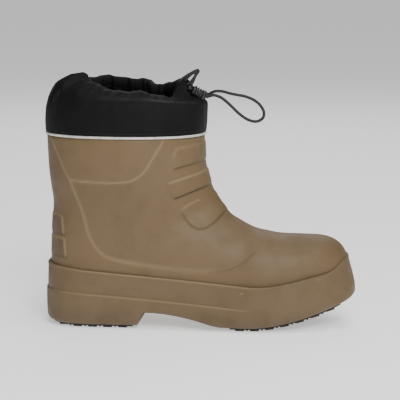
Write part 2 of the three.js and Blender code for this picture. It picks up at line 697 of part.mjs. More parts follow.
// The origin is under the middle of the boot, measured without its cords.
boot.updateMatrixWorld(true);
const reach = new THREE.Box3();
boot.children.filter((piece) => !piece.name.endsWith('_loop')).forEach((piece) => reach.expandByObject(piece, true));
boot.position.set(-(reach.min.x + reach.max.x) / 2, -(reach.min.y + reach.max.y) / 2, 0);

export default boot;
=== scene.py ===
"""A low pull-on winter boot for the right foot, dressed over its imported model.

The boot is a moulded foam upper in a cup sole of the same foam, on two black rubber treads, with a
felt insole and lining, a gathered cloth gaiter, a pale piping, a cord lock and two elastic cords.
Sizes are millimetres from the back of the last, as in the part's source. X runs to the toe, Y to the
inner side of the foot and Z up, and a mesh is turned to metres about the boot's middle when it is made.
"""

import logging
import math
from dataclasses import dataclass, field
from enum import Enum

import bmesh
import bpy
import numpy as np
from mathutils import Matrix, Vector

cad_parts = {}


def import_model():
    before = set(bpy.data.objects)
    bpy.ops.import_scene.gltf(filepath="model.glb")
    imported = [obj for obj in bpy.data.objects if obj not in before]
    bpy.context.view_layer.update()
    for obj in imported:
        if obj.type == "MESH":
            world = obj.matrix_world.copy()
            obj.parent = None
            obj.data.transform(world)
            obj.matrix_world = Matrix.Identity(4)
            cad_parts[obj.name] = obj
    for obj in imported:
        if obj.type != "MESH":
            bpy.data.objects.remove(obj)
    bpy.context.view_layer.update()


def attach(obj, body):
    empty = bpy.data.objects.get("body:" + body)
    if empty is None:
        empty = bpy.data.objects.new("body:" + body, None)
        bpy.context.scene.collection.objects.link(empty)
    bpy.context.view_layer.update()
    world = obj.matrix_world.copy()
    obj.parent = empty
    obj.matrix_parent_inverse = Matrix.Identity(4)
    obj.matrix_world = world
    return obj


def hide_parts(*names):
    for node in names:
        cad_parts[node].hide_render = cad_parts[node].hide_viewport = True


LOG = logging.getLogger("boot")
MM = 0.001
HEEL_TO_MIDDLE = 154.557  # from the back of the last to the boot's middle
SHOULDER = (159.025, 0.0, 231.38)  # the front of the gaiter's shoulder, which the lock and cords keep to
SAME = 1e-9  # lengths below this count as none
Array = np.ndarray
Line = tuple[tuple[float, float], ...]
Material = bpy.types.Material
Mesh = bpy.types.Mesh
Node = bpy.types.Node
Object = bpy.types.Object
Socket = bpy.types.NodeSocket
Tree = bpy.types.NodeTree


class Slot(str, Enum):
    """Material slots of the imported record."""

    FOAM = "foam"
    TREAD = "tread"
    FELT = "felt"
    CLOTH = "gaiter_cloth"
    TAPE = "tape"
    PLASTIC = "lock_plastic"
    CORD = "cord"


def ease(low: float, high: float, value: Array | float) -> Array:
    """Gives a smooth step from 0 at low to 1 at high."""
    t = np.clip((np.asarray(value, float) - low) / (high - low), 0.0, 1.0)
    return t * t * (3.0 - 2.0 * t)


def spline(values: Array, at: Array, closed: bool = False) -> Array:
    """Reads a smooth curve through evenly numbered values.

    Args:
        values: One value or one row of values for each whole number.
        at: Where to read the curve, in the values' numbering.
        closed: Whether the last value runs on to the first.

    Returns:
        The curve's values, with one row for each place.
    """
    values = np.asarray(values, float)
    at = np.asarray(at, float)
    count = len(values)
    first = np.floor(at).astype(int)
    if not closed:
        first = np.clip(first, 0, count - 2)
    t = (at - first).reshape(at.shape + (1,) * (values.ndim - 1))

    def pick(step: int) -> Array:
        """Gives the values so many steps from the one before each place."""
        index = first + step
        return values[index % count] if closed else values[np.clip(index, 0, count - 1)]

    a, b, c, d = pick(-1), pick(0), pick(1), pick(2)
    return b + 0.5 * t * (c - a + t * (2 * a - 5 * b + 4 * c - d + t * (3 * (b - c) + d - a)))


def along(points: Array) -> Array:
    """Gives the distance of each point along a line of points."""
    steps = np.linalg.norm(np.diff(points, axis=0), axis=-1)
    return np.concatenate([[0.0], np.cumsum(steps)])


def line_distance(x: Array, z: Array, line: Line, closed: bool = False) -> tuple[Array, Array]:
    """Measures how far places seen from the side lie from a line of points.

    Args:
        x: The places along the foot.
        z: Their heights.
        line: The line's points as (x, z).
        closed: Whether the line ends where it starts.

    Returns:
        The distance of each place, and how far along the line its nearest point is, from 0 to 1.
    """
    points = (*line, line[0]) if closed else line
    best = np.full(x.shape, np.inf)
    where = np.zeros(x.shape)
    for k, ((ax, az), (bx, bz)) in enumerate(zip(points, points[1:])):
        dx, dz = bx - ax, bz - az
        t = np.clip(((x - ax) * dx + (z - az) * dz) / (dx * dx + dz * dz), 0.0, 1.0)
        far = np.hypot(x - ax - t * dx, z - az - t * dz)
        nearer = far < best
        best = np.where(nearer, far, best)
        where = np.where(nearer, (k + t) / (len(points) - 1), where)
    return best, where


def inside(x: Array, z: Array, outline: Line) -> Array:
    """Tells which places lie inside a closed outline.

    Args:
        x: The places along the foot.
        z: Their heights.
        outline: The outline's points as (x, z).

    Returns:
        True for each place inside.
    """
    result = np.zeros(x.shape, bool)
    for (ax, az), (bx, bz) in zip(outline, outline[1:] + outline[:1]):
        if az == bz:
            continue
        crosses = (az > z) != (bz > z)
        result ^= crosses & (x < (bx - ax) * (z - az) / (bz - az) + ax)
    return result


def rounded(outline: Line, each: int) -> Line:
    """Gives a smooth closed outline through a few points, with so many new points for each."""
    at = np.linspace(0, len(outline), len(outline) * each, endpoint=False)
    return tuple(tuple(p) for p in spline(np.array(outline), at, closed=True))


def placed(points: Array) -> list[list[float]]:
    """Turns millimetres from the back of the last to metres from the boot's middle."""
    return ((points - (HEEL_TO_MIDDLE, 0, 0)) * MM).tolist()


def make_piece(
    name: str,
    points: Array,
    faces: list[list[int]],
    material: Material,
    layers: dict[str, Array],
) -> Object:
    """Makes a smooth mesh object at the origin.

    Args:
        name: The piece's name.
        points: Its points, in millimetres from the back of the last.
        faces: The corners of its faces.
        material: Its finish.
        layers: Values that colour its first points, by the names of their layers.

    Returns:
        The new object.
    """
    mesh = bpy.data.meshes.new(name)
    mesh.from_pydata(placed(points), [], faces)
    mesh.validate()
    mesh.polygons.foreach_set("use_smooth", [True] * len(mesh.polygons))
    for layer, values in layers.items():
        flat = np.zeros(len(mesh.vertices))
        flat[: values.size] = values.reshape(-1)
        mesh.attributes.new(layer, "FLOAT", "POINT").data.foreach_set("value", flat)
    mesh.materials.append(material)
    obj = bpy.data.objects.new(name, mesh)
    bpy.context.collection.objects.link(obj)
    return obj


@dataclass
class Surface:
    """Rows of points that become one mesh. Each row closes on itself.

    Attributes:
        rows: Points as rows by columns by three, in millimetres from the back of the last.
        hoop: Whether the last row runs on to the first.
        caps: Whether the first and last rows are closed to a point in their middle.
        uv: The UV map's place of each point, where the finish needs one.
        layers: Values of each point that colour it, by the names of their layers.
    """

    rows: Array
    hoop: bool = False
    caps: tuple[bool, bool] = (False, False)
    uv: Array | None = None
    layers: dict[str, Array] = field(default_factory=dict)

    def faces(self) -> Array:
        """Gives the four corners of each face.

        Returns:
            The numbers of each face's points.
        """
        count, sides = self.rows.shape[:2]
        k = np.arange(count if self.hoop else count - 1)[:, None]
        i = np.arange(sides)[None, :]
        k, i = np.broadcast_arrays(k, i)
        up, on = (k + 1) % count, (i + 1) % sides
        return np.stack([k * sides + i, k * sides + on, up * sides + on, up * sides + i], -1).reshape(-1, 4)

    def object(self, name: str, material: Material) -> Object:
        """Makes the mesh object, with its faces turned outwards.

        Args:
            name: The piece's name.
            material: Its finish.

        Returns:
            The new object at the origin.
        """
        count, sides = self.rows.shape[:2]
        points = self.rows.reshape(-1, 3)
        quads = self.faces()
        extra = []
        for end, wanted in enumerate(self.caps):
            if not wanted:
                continue
            middle = len(points)
            ring = np.arange(sides) + (0 if end == 0 else (count - 1) * sides)
            points = np.vstack([points, points[ring].mean(0)])
            for i in range(sides):
                pair = (ring[(i + 1) % sides], ring[i]) if end == 0 else (ring[i], ring[(i + 1) % sides])
                extra.append((middle, *pair))
        faces = quads.tolist() + extra
        halves = quads[:, [0, 1, 2]], quads[:, [0, 2, 3]]
        triangles = np.vstack([*halves, np.array(extra, int).reshape(-1, 3)])
        a, b, c = (points[triangles[:, k]] for k in range(3))
        if np.einsum("ij,ij->i", a, np.cross(b, c)).sum() < 0:
            faces = [f[::-1] for f in faces]
        obj = make_piece(name, points, faces, material, self.layers)
        if self.uv is not None:
            self._unwrap(obj.data)
        return obj

    def _unwrap(self, mesh: Mesh) -> None:
        """Writes the UV map, whose last column starts one turn further on.

        Args:
            mesh: The piece's mesh.
        """
        count, sides = self.rows.shape[:2]
        corners = np.empty(len(mesh.loops), int)
        mesh.loops.foreach_get("vertex_index", corners)
        flat = np.vstack([self.uv.reshape(-1, 2), np.zeros((len(mesh.vertices) - count * sides, 2))])
        uv = flat[corners]
        turn = float(self.uv[..., 0].max() - self.uv[..., 0].min()) * sides / (sides - 1)
        starts = np.empty(len(mesh.polygons), int)
        mesh.polygons.foreach_get("loop_start", starts)
        column = corners % sides
        owner = np.repeat(np.arange(len(starts)), np.diff(np.append(starts, len(corners))))
        last = np.zeros(len(starts), bool)
        np.logical_or.at(last, owner, column == sides - 1)
        uv[:, 0] += turn * (last[owner] & (column == 0))
        mesh.uv_layers.new(name="own").data.foreach_set("uv", uv.reshape(-1))


@dataclass
class Last:
    """The boot's form: sections that turn from level, in the shaft, to upright, at the toe."""

    length: float = 310.0
    ball_width: float = 96.0
    collar_width: float = 112.0
    rim: float = 190.5
    instep: float = 120.0
    heel_stack: float = 28.0
    fore_stack: float = 18.0
    toe_spring: float = 27.0
    arch_top: float = 0.326
    arch_end: float = 0.6
    ball: float = 0.675
    # front x, front level, back x, back height, side, half, collar, widest, squareness front and back
    sections: tuple[tuple[float, ...], ...] = (
        (0.512, 2.28, 0.003, 1.122, 0.0, 0.0, 1.0, 0.5, 2.25, 2.25),
        (0.513, 1.92, 0.005, 0.963, 0.0, 0.0, 1.0, 0.5, 2.25, 2.25),
        (0.516, 1.63, 0.008, 0.829, 0.0, 0.1, 0.9, 0.5, 2.25, 2.25),
        (0.525, 1.44, 0.018, 0.567, 0.0, 0.35, 0.63, 0.49, 2.25, 2.3),
        (0.538, 1.26, 0.016, 0.323, 0.0, 0.6, 0.35, 0.47, 2.25, 2.35),
        (0.548, 1.175, 0.0145, 0.152, 0.0, 0.74, 0.18, 0.45, 2.2, 2.5),
        (0.559, 1.09, 0.034, 0.02, -0.01, 0.85, 0.05, 0.42, 2.2, 3.0),
        (0.58, 0.982, 0.232, 0.0, -0.03, 0.87, 0.0, 0.4, 2.2, 3.6),
        (0.618, 0.897, 0.403, 0.0, -0.04, 0.87, 0.0, 0.38, 2.25, 4.0),
        (0.661, 0.828, 0.539, 0.0, -0.02, 0.925, 0.0, 0.36, 2.3, 4.0),
        (0.711, 0.784, 0.658, 0.0, 0.01, 0.99, 0.0, 0.35, 2.4, 4.0),
        (0.758, 0.758, 0.758, 0.0, 0.045, 0.985, 0.0, 0.35, 2.45, 4.0),
        (0.829, 0.75, 0.823, 0.0, 0.085, 0.925, 0.0, 0.37, 2.5, 3.8),
        (0.89, 0.742, 0.882, 0.0, 0.12, 0.8, 0.0, 0.4, 2.5, 3.4),
        (0.929, 0.712, 0.929, 0.0, 0.14, 0.655, 0.0, 0.44, 2.45, 3.0),
        (0.955, 0.66, 0.96, 0.005, 0.152, 0.495, 0.0, 0.48, 2.35, 2.6),
        (0.972, 0.585, 0.98, 0.04, 0.158, 0.3, 0.0, 0.5, 2.2, 2.2),
        (0.985, 0.49, 0.986, 0.075, 0.16, 0.0, 0.0, 0.5, 2.0, 2.0),
    )

    @property
    def tip(self) -> float:
        """Gives the number of the last section."""
        return len(self.sections) - 1.0

    def spring(self, x: Array) -> Array:
        """Gives how high the toe spring lifts the sole at a place along the foot."""
        start = self.ball * self.length
        return self.toe_spring * np.clip((x - start) / (self.length - start), 0.0, 1.1) ** 1.6

    def footbed(self, x: Array) -> Array:
        """Gives the height of the cup's floor."""
        drop = ease(self.arch_top * self.length, self.arch_end * self.length, x)
        return self.fore_stack + (self.heel_stack - self.fore_stack) * (1 - drop) + self.spring(x)

    def section(self, s: Array) -> dict[str, Array]:
        """Gives the front and back points, the middle, the half width and the shape of sections.

        Args:
            s: The sections' numbers, with shares between two of them.

        Returns:
            Each of these by its name.
        """
        row = spline(np.array(self.sections), s)
        front = np.minimum(row[..., 1], 1) * self.instep
        front = front + np.maximum(row[..., 1] - 1, 0) * (self.rim - self.instep)
        back_x = row[..., 2] * self.length
        back = self.footbed(back_x) + row[..., 3] * (self.rim - self.heel_stack)
        zero = np.zeros_like(back_x)
        return {
            "front": np.stack([row[..., 0] * self.length, zero, front], -1),
            "back": np.stack([back_x, zero, back], -1),
            "middle": row[..., 4] * self.ball_width / 2,
            "half": np.maximum((row[..., 5] * self.ball_width + row[..., 6] * self.collar_width) / 2, 0.01),
            "wide": row[..., 7],
            "square_front": row[..., 8],
            "square_back": row[..., 9],
        }

    def point(self, s: Array, angle: Array) -> Array:
        """Gives points of the form: angle 0 is the inner side and a quarter turn the front.

        Args:
            s: The sections' numbers.
            angle: The directions round them.

        Returns:
            The points.
        """
        part = self.section(s)
        cos, sin = np.cos(angle), np.sin(angle)
        square = np.where(sin > 0, part["square_front"], part["square_back"])
        reach = (np.abs(cos) ** square + np.abs(sin) ** square) ** (-1 / square)
        share = part["wide"] + np.where(sin > 0, 1 - part["wide"], part["wide"]) * reach * sin
        place = part["back"] + (part["front"] - part["back"]) * share[..., None]
        place[..., 1] = part["middle"] + part["half"] * reach * cos
        return place

    def normal(self, s: Array, angle: Array) -> Array:
        """Gives the outward direction of the form.

        Args:
            s: The sections' numbers.
            angle: The directions round them.

        Returns:
            One direction of length 1 for each place.
        """
        nudge = 0.02
        near = np.minimum(s, self.tip - 2 * nudge)
        rise = self.point(near + nudge, angle) - self.point(near - nudge, angle)
        around = self.point(near, angle + nudge) - self.point(near, angle - nudge)
        normal = -np.cross(rise, around)
        return normal / np.maximum(np.linalg.norm(normal, axis=-1, keepdims=True), SAME)

    def level(self, height: float) -> float:
        """Gives the section whose front lies at a height in the shaft."""
        fine = np.linspace(0, 3, 3001)  # the shaft's sections, in thousandths
        return float(fine[np.argmin(np.abs(self.section(fine)["front"][:, 2] - height))])


@dataclass
class Relief:
    """What is raised and sunk on the upper, in its own sizes, seen from the side."""

    step: float = 1.15
    edge: float = 0.9
    # the smooth field below the collar, and the ridge of the textured quarter
    pocket: Line = (
        (11, 187), (20.4, 167.5), (30, 149.3), (34.6, 148.2), (54, 147.6), (73.6, 147.3), (84.4, 147.9),
        (91.9, 149.2), (98, 152.3), (103, 156.1), (107, 161), (110.2, 166.2), (116, 176.2), (120.8, 183.8),
        (124.3, 190), (125, 197), (7, 197),
    )
    quarter: Line = (
        (30, 149.3), (36, 134), (42.2, 119), (45, 109), (47.2, 99.5), (50.4, 90.5), (54.6, 83), (59.3, 77),
        (65.6, 72.4), (73.7, 69.3), (92.8, 65.5), (113, 62.6), (133.3, 60.4), (150, 59.2), (166.7, 59.2),
        (178, 60), (187.8, 62.2), (196, 65.6), (203.7, 70.2), (211.4, 76.9),
    )
    # panels on the shin: each has a lit upper edge and a cut below it
    shin_upper: Line = (
        (132.8, 173), (135.5, 180.5), (150, 182.5), (178, 184), (178, 168.6), (156, 165.6), (134, 160.6),
    )
    shin_lower: Line = (
        (128, 140), (129, 147), (145, 151.8), (160.5, 155.8), (182, 160), (182, 146.4), (164.5, 141.6),
        (149, 136.2), (134.3, 130.9),
    )
    tongue: Line = (
        (155.5, 128.5), (147, 124.6), (141.4, 120.8), (140.2, 115.7), (143.8, 109), (149.8, 103.3),
        (154, 101), (158.5, 100.2), (162.8, 100.8), (166.6, 102.5), (173, 107.6), (179.3, 113.7),
        (190, 124), (182, 134),
    )
    heel_upper: Line = ((-12, 111.5), (17.5, 111.5), (20, 109.5), (22.2, 93.5), (-12, 93.5))
    heel_lower: Line = ((-12, 89), (21.5, 89), (22.8, 87.8), (24, 71), (-12, 71))
    vamp_edge: Line = ((168, 58.6), (180, 60), (189, 62.4), (197, 66), (204.5, 71), (212, 78))
    # closes the quarter's ridge to the outline of its textured field
    quarter_top: Line = (
        (212, 92), (176, 108), (140, 112), (132, 150), (124.3, 190), (116, 176.2), (103, 156.1),
        (84.4, 147.9),
    )

    def _field(self, x: Array, z: Array, outline: Line, soft: float) -> Array:
        """Gives 1 inside an outline and 0 outside, with a soft edge."""
        far, _ = line_distance(x, z, outline, closed=True)
        return ease(-soft, soft, np.where(inside(x, z, outline), far, -far))

    def _stroke(self, x: Array, z: Array, line: Line, width: float) -> Array:
        """Gives a thin stroke along a line, from 0 beside it to 1 on it."""
        return np.exp(-((line_distance(x, z, line)[0] / width) ** 2))

    def layers(self, x: Array, z: Array, side: Array) -> dict[str, Array]:
        """Gives the relief and what colours it.

        Args:
            x: Places along the foot.
            z: Their heights.
            side: How far they lie from the boot's middle plane.

        Returns:
            rise is the height over the plain form, the highlight layer the raised edges that get a painted
            highlight, the shade layer the painted shade in the cuts and under raised edges, and dots the
            strength of the diagonal texture, the last three from 0 to 1.
        """
        rise = 0.6 * self._field(x, z, self.pocket, self.edge)
        # painted highlight: the pocket's edge is drawn paler, and the same mask raises it a little
        ridge_highlight = 0.95 * self._stroke(x, z, self.pocket[:-2], 1.0) * ease(195, 186, z)
        rise = rise + 0.5 * ridge_highlight

        # the ridge is sharp behind, and broad and low in front
        far, where = line_distance(x, z, self.quarter)
        sharp = 1 - ease(0.35, 0.62, where)
        border = np.exp(-((far / (0.9 + 1.9 * (1 - sharp))) ** 2)) * (1 - ease(0.7, 0.95, where))
        rise = rise + border * (0.75 * sharp + 0.55 * (1 - sharp))
        # painted highlight along the quarter's ridge
        ridge_highlight = np.maximum(ridge_highlight, border * (0.3 + 0.7 * sharp))

        within = inside(x, z, self.quarter + self.quarter_top)
        depth = np.where(within, np.minimum(far, line_distance(x, z, self.pocket, closed=True)[0]), 0.0)
        dots = ease(0.5, 5.0, depth) * (1 - ease(128, 142, x) * ease(96, 112, z)) * (1 - ease(108, 152, x))
        dots = dots * (1 - 0.4 * ease(125, 172, z))
        # the heel counter outside the quarter stands a little proud of it
        sunk = within * ease(0.0, 4.0, depth) * (1 - ease(150, 208, x))
        rise = rise - 0.35 * sunk * (1 - ease(100, 138, z) * ease(60, 110, x))

        # painted shade: the vamp's edge, the cuts below the shin panels, the tongue's lower edge and the
        # heel panels are drawn darker
        painted_shade = 0.45 * self._stroke(x, z, self.vamp_edge, 1.0)
        aside = ease(2, 15, side)  # the panels fade towards the shin's middle
        for outline, cut, sunk_edge, strength in (
            (self.shin_upper, 0.55, self.shin_upper[4:], 0.75),
            (self.shin_lower, 0.8, self.shin_lower[5:], 1.0),
        ):
            rise = rise + self.step * self._field(x, z, outline, self.edge) * (0.45 + 0.55 * aside)
            stroke = self._stroke(x, z, sunk_edge, 1.15) * aside
            rise = rise - cut * stroke
            painted_shade = np.maximum(painted_shade, strength * stroke)
        # painted highlight on the shin panels' lit upper edges
        ridge_highlight = np.maximum(ridge_highlight, 0.5 * self._stroke(x, z, self.shin_upper[:4], 1.1))
        ridge_highlight = np.maximum(ridge_highlight, 0.75 * self._stroke(x, z, self.shin_lower[1:5], 1.1))

        rise = rise + 0.8 * self._field(x, z, rounded(self.tongue, each=4), 1.5)
        # painted highlight on the tongue's upper edge, painted shade along its lower edge
        ridge_highlight = np.maximum(ridge_highlight, 0.5 * self._stroke(x, z, self.tongue[:3], 1.2))
        painted_shade = np.maximum(painted_shade, 0.6 * self._stroke(x, z, self.tongue[3:12], 1.2))
        for outline in (self.heel_upper, self.heel_lower):
            panel = self._field(x, z, outline, self.edge)
            rim = self._stroke(x, z, outline[:4], 0.95)
            rise = rise + 0.6 * panel + 0.35 * rim
            # painted highlight on the heel panel's upper and front edges
            ridge_highlight = np.maximum(ridge_highlight, rim * ease(0, 4, x))
            # painted shade under each heel panel, and more weakly over the whole panel
            bottom = outline[-1][1] - 0.8
            shade = self._stroke(x, z, ((outline[-1][0], bottom), (outline[3][0] + 0.5, bottom)), 1.5)
            painted_shade = np.maximum(painted_shade, np.maximum(0.3 * panel, 0.9 * shade))
        return {"rise": rise, "ridge_highlight": ridge_highlight, "painted_shade": painted_shade * (1 - 0.8 * ridge_highlight), "dots": dots}


@dataclass
class Upper:
    """The moulded foam upper with its lip, and the felt lining inside it."""

    last: Last
    relief: Relief
    wall: float = 4.0
    # the lip that the gaiter sits on: height over the rim, and how far inside the form
    lip: Line = (
        (9.0, 3.6), (9.0, 3.0), (8.4, 2.6), (4.5, 2.6), (0.6, 2.6), (0.1, 2.2), (0.0, 1.2), (-0.3, 0.45),
        (-0.9, 0.08),
    )
    # soft bends of the foam: a line from the side, how far it stands out, and its half width
    bends: tuple[tuple[Line, float, float], ...] = (
        (((150, 98), (168, 101), (186, 108)), -0.9, 7.0),
        (((196, 66), (206, 84), (212, 96)), -0.5, 8.0),
        (((226, 58), (250, 66), (272, 78)), 0.2, 12.0),
        (((-4, 124), (24, 122)), -1.5, 15.0),
    )
    sides: int = 330
    rows: int = 255
    inner_rows: int = 24
    lining_top: float = 7.5
    lining_end: float = 16.4
    lining_rows: int = 90
    lining_sides: int = 140
    girth: float = 330.0

    def _spread(self, start: float, stop: float, count: int) -> Array:
        """Spaces sections evenly over the form between two of them.

        Args:
            start: The first section's number.
            stop: The last one's.
            count: How many there are.

        Returns:
            The sections' numbers.
        """
        samples, spokes = 1200, 48
        fine = np.linspace(start, stop, samples)
        angles = np.linspace(0, 2 * math.pi, spokes, endpoint=False)
        grid = self.last.point(fine[:, None], np.broadcast_to(angles, (samples, spokes)))
        gap = np.linalg.norm(np.diff(grid, axis=0), axis=-1)
        run = np.concatenate([[0.0], np.cumsum(np.sqrt((gap**2).mean(1)))])
        return np.interp(np.linspace(0, run[-1], count), run, fine)

    def _angles(self, sides: int) -> Array:
        """Gives the directions round a section."""
        return 2 * math.pi * (np.arange(sides) + 0.5) / sides

    def _creases(self, place: Array) -> Array:
        """Gives the soft bends of the shaft and vamp, and a slow unevenness below the collar.

        Args:
            place: Points of the plain form.

        Returns:
            How far the foam stands out there: a trough is negative.
        """
        x, y, z = place[..., 0], place[..., 1], place[..., 2]
        bend = np.zeros(x.shape)
        for number, (line, height, half) in enumerate(self.bends):
            soft = height * np.exp(-((line_distance(x, z, line)[0] / half) ** 2))
            # the first bend, at the ankle, fades out backwards
            bend = bend + (soft * ease(140, 165, x) if number == 0 else soft)
        slow = 0.14 * np.sin(x / 23.0 + 1.1 * np.sin(z / 31.0)) * np.sin(z / 27.0 + 0.6 * np.sin(y / 19.0))
        return bend + slow * ease(188, 170, z)

    def shell(self, material: Material) -> Object:
        """Builds the foam shell, outside, lip and inside in one closed skin.

        Args:
            material: The piece's finish.

        Returns:
            The new object at the origin.
        """
        last = self.last
        top = last.level(last.rim)
        angles = self._angles(self.sides)[None, :]
        s = self._spread(top, last.tip, self.rows)[:, None]
        angle = np.broadcast_to(angles, (self.rows, self.sides))
        plain = last.point(s, angle)
        relief = self.relief.layers(plain[..., 0], plain[..., 2], np.abs(plain[..., 1]))
        normal = last.normal(s, angle)
        # the fine line that the mould leaves along the middle of the shin, vamp and toe
        seam = np.exp(-((plain[..., 1] / 0.9) ** 2)) * ease(150, 175, plain[..., 0])
        seam = seam * ease(0.0, 0.3, normal[..., 2])
        # the seam also gets a painted highlight
        relief["ridge_highlight"] = np.maximum(relief["ridge_highlight"], 0.45 * seam)
        fade = ease(last.rim, last.rim - 2.5, plain[..., 2])
        out = (relief["rise"] * ease(0.2, 1.0, fade) + 0.3 * seam + self._creases(plain)) * fade
        outer = plain + normal * out[..., None]

        lip_top = last.level(last.rim + self.lip[0][0])
        inner_s = self._spread(lip_top, last.tip, self.inner_rows)[::-1][:, None]
        inner_angle = np.broadcast_to(angles, (self.inner_rows, self.sides))
        inner_normal = last.normal(inner_s, inner_angle)
        thick = self.wall - (self.wall - 0.25) * ease(0.5, 0.85, -inner_normal[..., 2])
        inner = last.point(inner_s, inner_angle) - inner_normal * thick[..., None]

        lip_rows = []
        for height, inset in self.lip:
            flat = np.full((1, self.sides), last.level(last.rim + height))
            ring = last.point(flat, angles) - last.normal(flat, angles) * inset
            ring[..., 2] = last.rim + height
            lip_rows.append(ring)
        outer_from = int(np.argmax(plain[:, 0, 2] < last.rim - 1.4))
        rows = np.concatenate([inner, *lip_rows, outer[outer_from:]])
        before = len(rows) - (self.rows - outer_from)
        layers = {}
        for name in ("ridge_highlight", "painted_shade", "dots"):
            full = np.zeros(rows.shape[:2])
            full[before:] = relief[name][outer_from:]
            layers[name] = full
        return Surface(rows, caps=(True, True), layers=layers).object("upper_shell", material)

    def lining(self, material: Material) -> Object:
        """Builds the felt lining that lies on the inside of the shell.

        Args:
            material: The piece's finish.

        Returns:
            The new object at the origin.
        """
        last = self.last
        angles = self._angles(self.lining_sides)[None, :]
        top = last.level(last.rim + self.lining_top)
        s = self._spread(top, self.lining_end, self.lining_rows)[:, None]
        angle = np.broadcast_to(angles, (self.lining_rows, self.lining_sides))
        normal = last.normal(s, angle)
        place = last.point(s, angle)
        soft = 0.25 * np.sin(place[..., 0] / 7 + 2 * np.sin(place[..., 2] / 11))
        floor = ease(0.45, 0.8, -normal[..., 2])
        near = place - normal * (self.wall + 0.15 + 1.1 * floor)[..., None]
        far = place - normal * (self.wall + 1.9 + 2.4 * floor + soft)[..., None]
        rows = np.concatenate([far[::-1], near])
        run = along(rows[:, self.lining_sides // 4])
        uv = np.stack(np.broadcast_arrays(angles / (2 * math.pi) * self.girth, run[:, None]), -1)
        return Surface(rows, caps=(True, True), uv=uv).object("lining", material)


@dataclass
class Outline:
    """The sole's outline in plan, at the feather line and a little below it."""

    last: Last
    heel_feather: float = 62.0
    ball_feather: float = 45.0
    toe_feather: float = 70.0
    base_drop: float = 13.0
    bumper_dip: float = 3.3
    dip_at: float = 286.0
    dip_half: float = 17.0
    dip_end: tuple[float, float] = (288.0, 303.0)
    breast: float = 0.309
    heel_points: int = 46
    fore_points: int = 104

    def feather(self, x: Array) -> Array:
        """Gives the height of the foxing wall's top.

        Args:
            x: Places along the foot.

        Returns:
            The heights.
        """
        last = self.last
        ball = last.ball * last.length
        back = self.heel_feather + (self.ball_feather - self.heel_feather) * np.clip(x / ball, 0, 1)
        front = np.clip((x - ball) / (0.975 * last.length - ball), 0, 1) ** 1.9
        ends = 1 - ease(*self.dip_end, x)
        dip = self.bumper_dip * np.exp(-(((x - self.dip_at) / self.dip_half) ** 2)) * ends
        return back + (self.toe_feather - self.ball_feather) * front - dip

    def _side(self, sign: int, drop: float) -> Array:
        """Gives the form's outline on one side, heel to toe.

        Args:
            sign: 1 for the inner side and -1 for the outer.
            drop: How far below the feather line the outline is taken.

        Returns:
            The outline's points.
        """
        last = self.last

        def over(points: Array) -> Array:
            """Gives how far points lie over the line that is taken."""
            return points[..., 2] - (self.feather(points[..., 0]) - drop)

        # the line starts at the heel, in sections 2 to 7, and ends at the toe, beyond section 12
        fine = np.linspace(2, 7, 2001)
        first = float(fine[np.argmin(np.abs(over(last.section(fine)["back"])))])
        fine = np.linspace(12, last.tip, 4001)
        final = float(fine[np.argmin(np.abs(over(last.section(fine)["front"])))])
        turn = (1 - np.cos(np.linspace(0, math.pi, 321))) / 2
        s = first + (final - first) * turn
        low, high = np.full(s.shape, -math.pi / 2), np.full(s.shape, math.pi / 2)
        halvings = 40
        for _ in range(halvings):
            middle = (low + high) / 2
            place = last.point(s, middle if sign > 0 else math.pi - middle)
            under = over(place) < 0
            low, high = np.where(under, middle, low), np.where(under, high, middle)
        return last.point(s, low if sign > 0 else math.pi - low)

    def rings(self) -> tuple[Array, Array]:
        """Gives the two outlines, heel, outer side, toe and inner side, with matching points.

        Returns:
            The lower outline and the one at the feather line.
        """
        result = []
        for drop in (self.base_drop, 0.0):
            halves = []
            for sign in (-1, 1):
                line = self._side(sign, drop)
                run = along(line[:, :2])
                shares = (self.breast, self.last.arch_top)
                marks = [float(np.interp(v * self.last.length, line[:, 0], run)) for v in shares]
                places = np.concatenate(
                    [
                        np.linspace(0, marks[0], self.heel_points),
                        np.linspace(marks[0], marks[1], 5)[1:-1],
                        np.linspace(marks[1], run[-1], self.fore_points),
                    ]
                )
                halves.append(np.stack([np.interp(places, run, line[:, k]) for k in range(3)], -1))
            result.append(np.vstack([halves[0], halves[1][1:-1][::-1]]))
        return result[0], result[1]


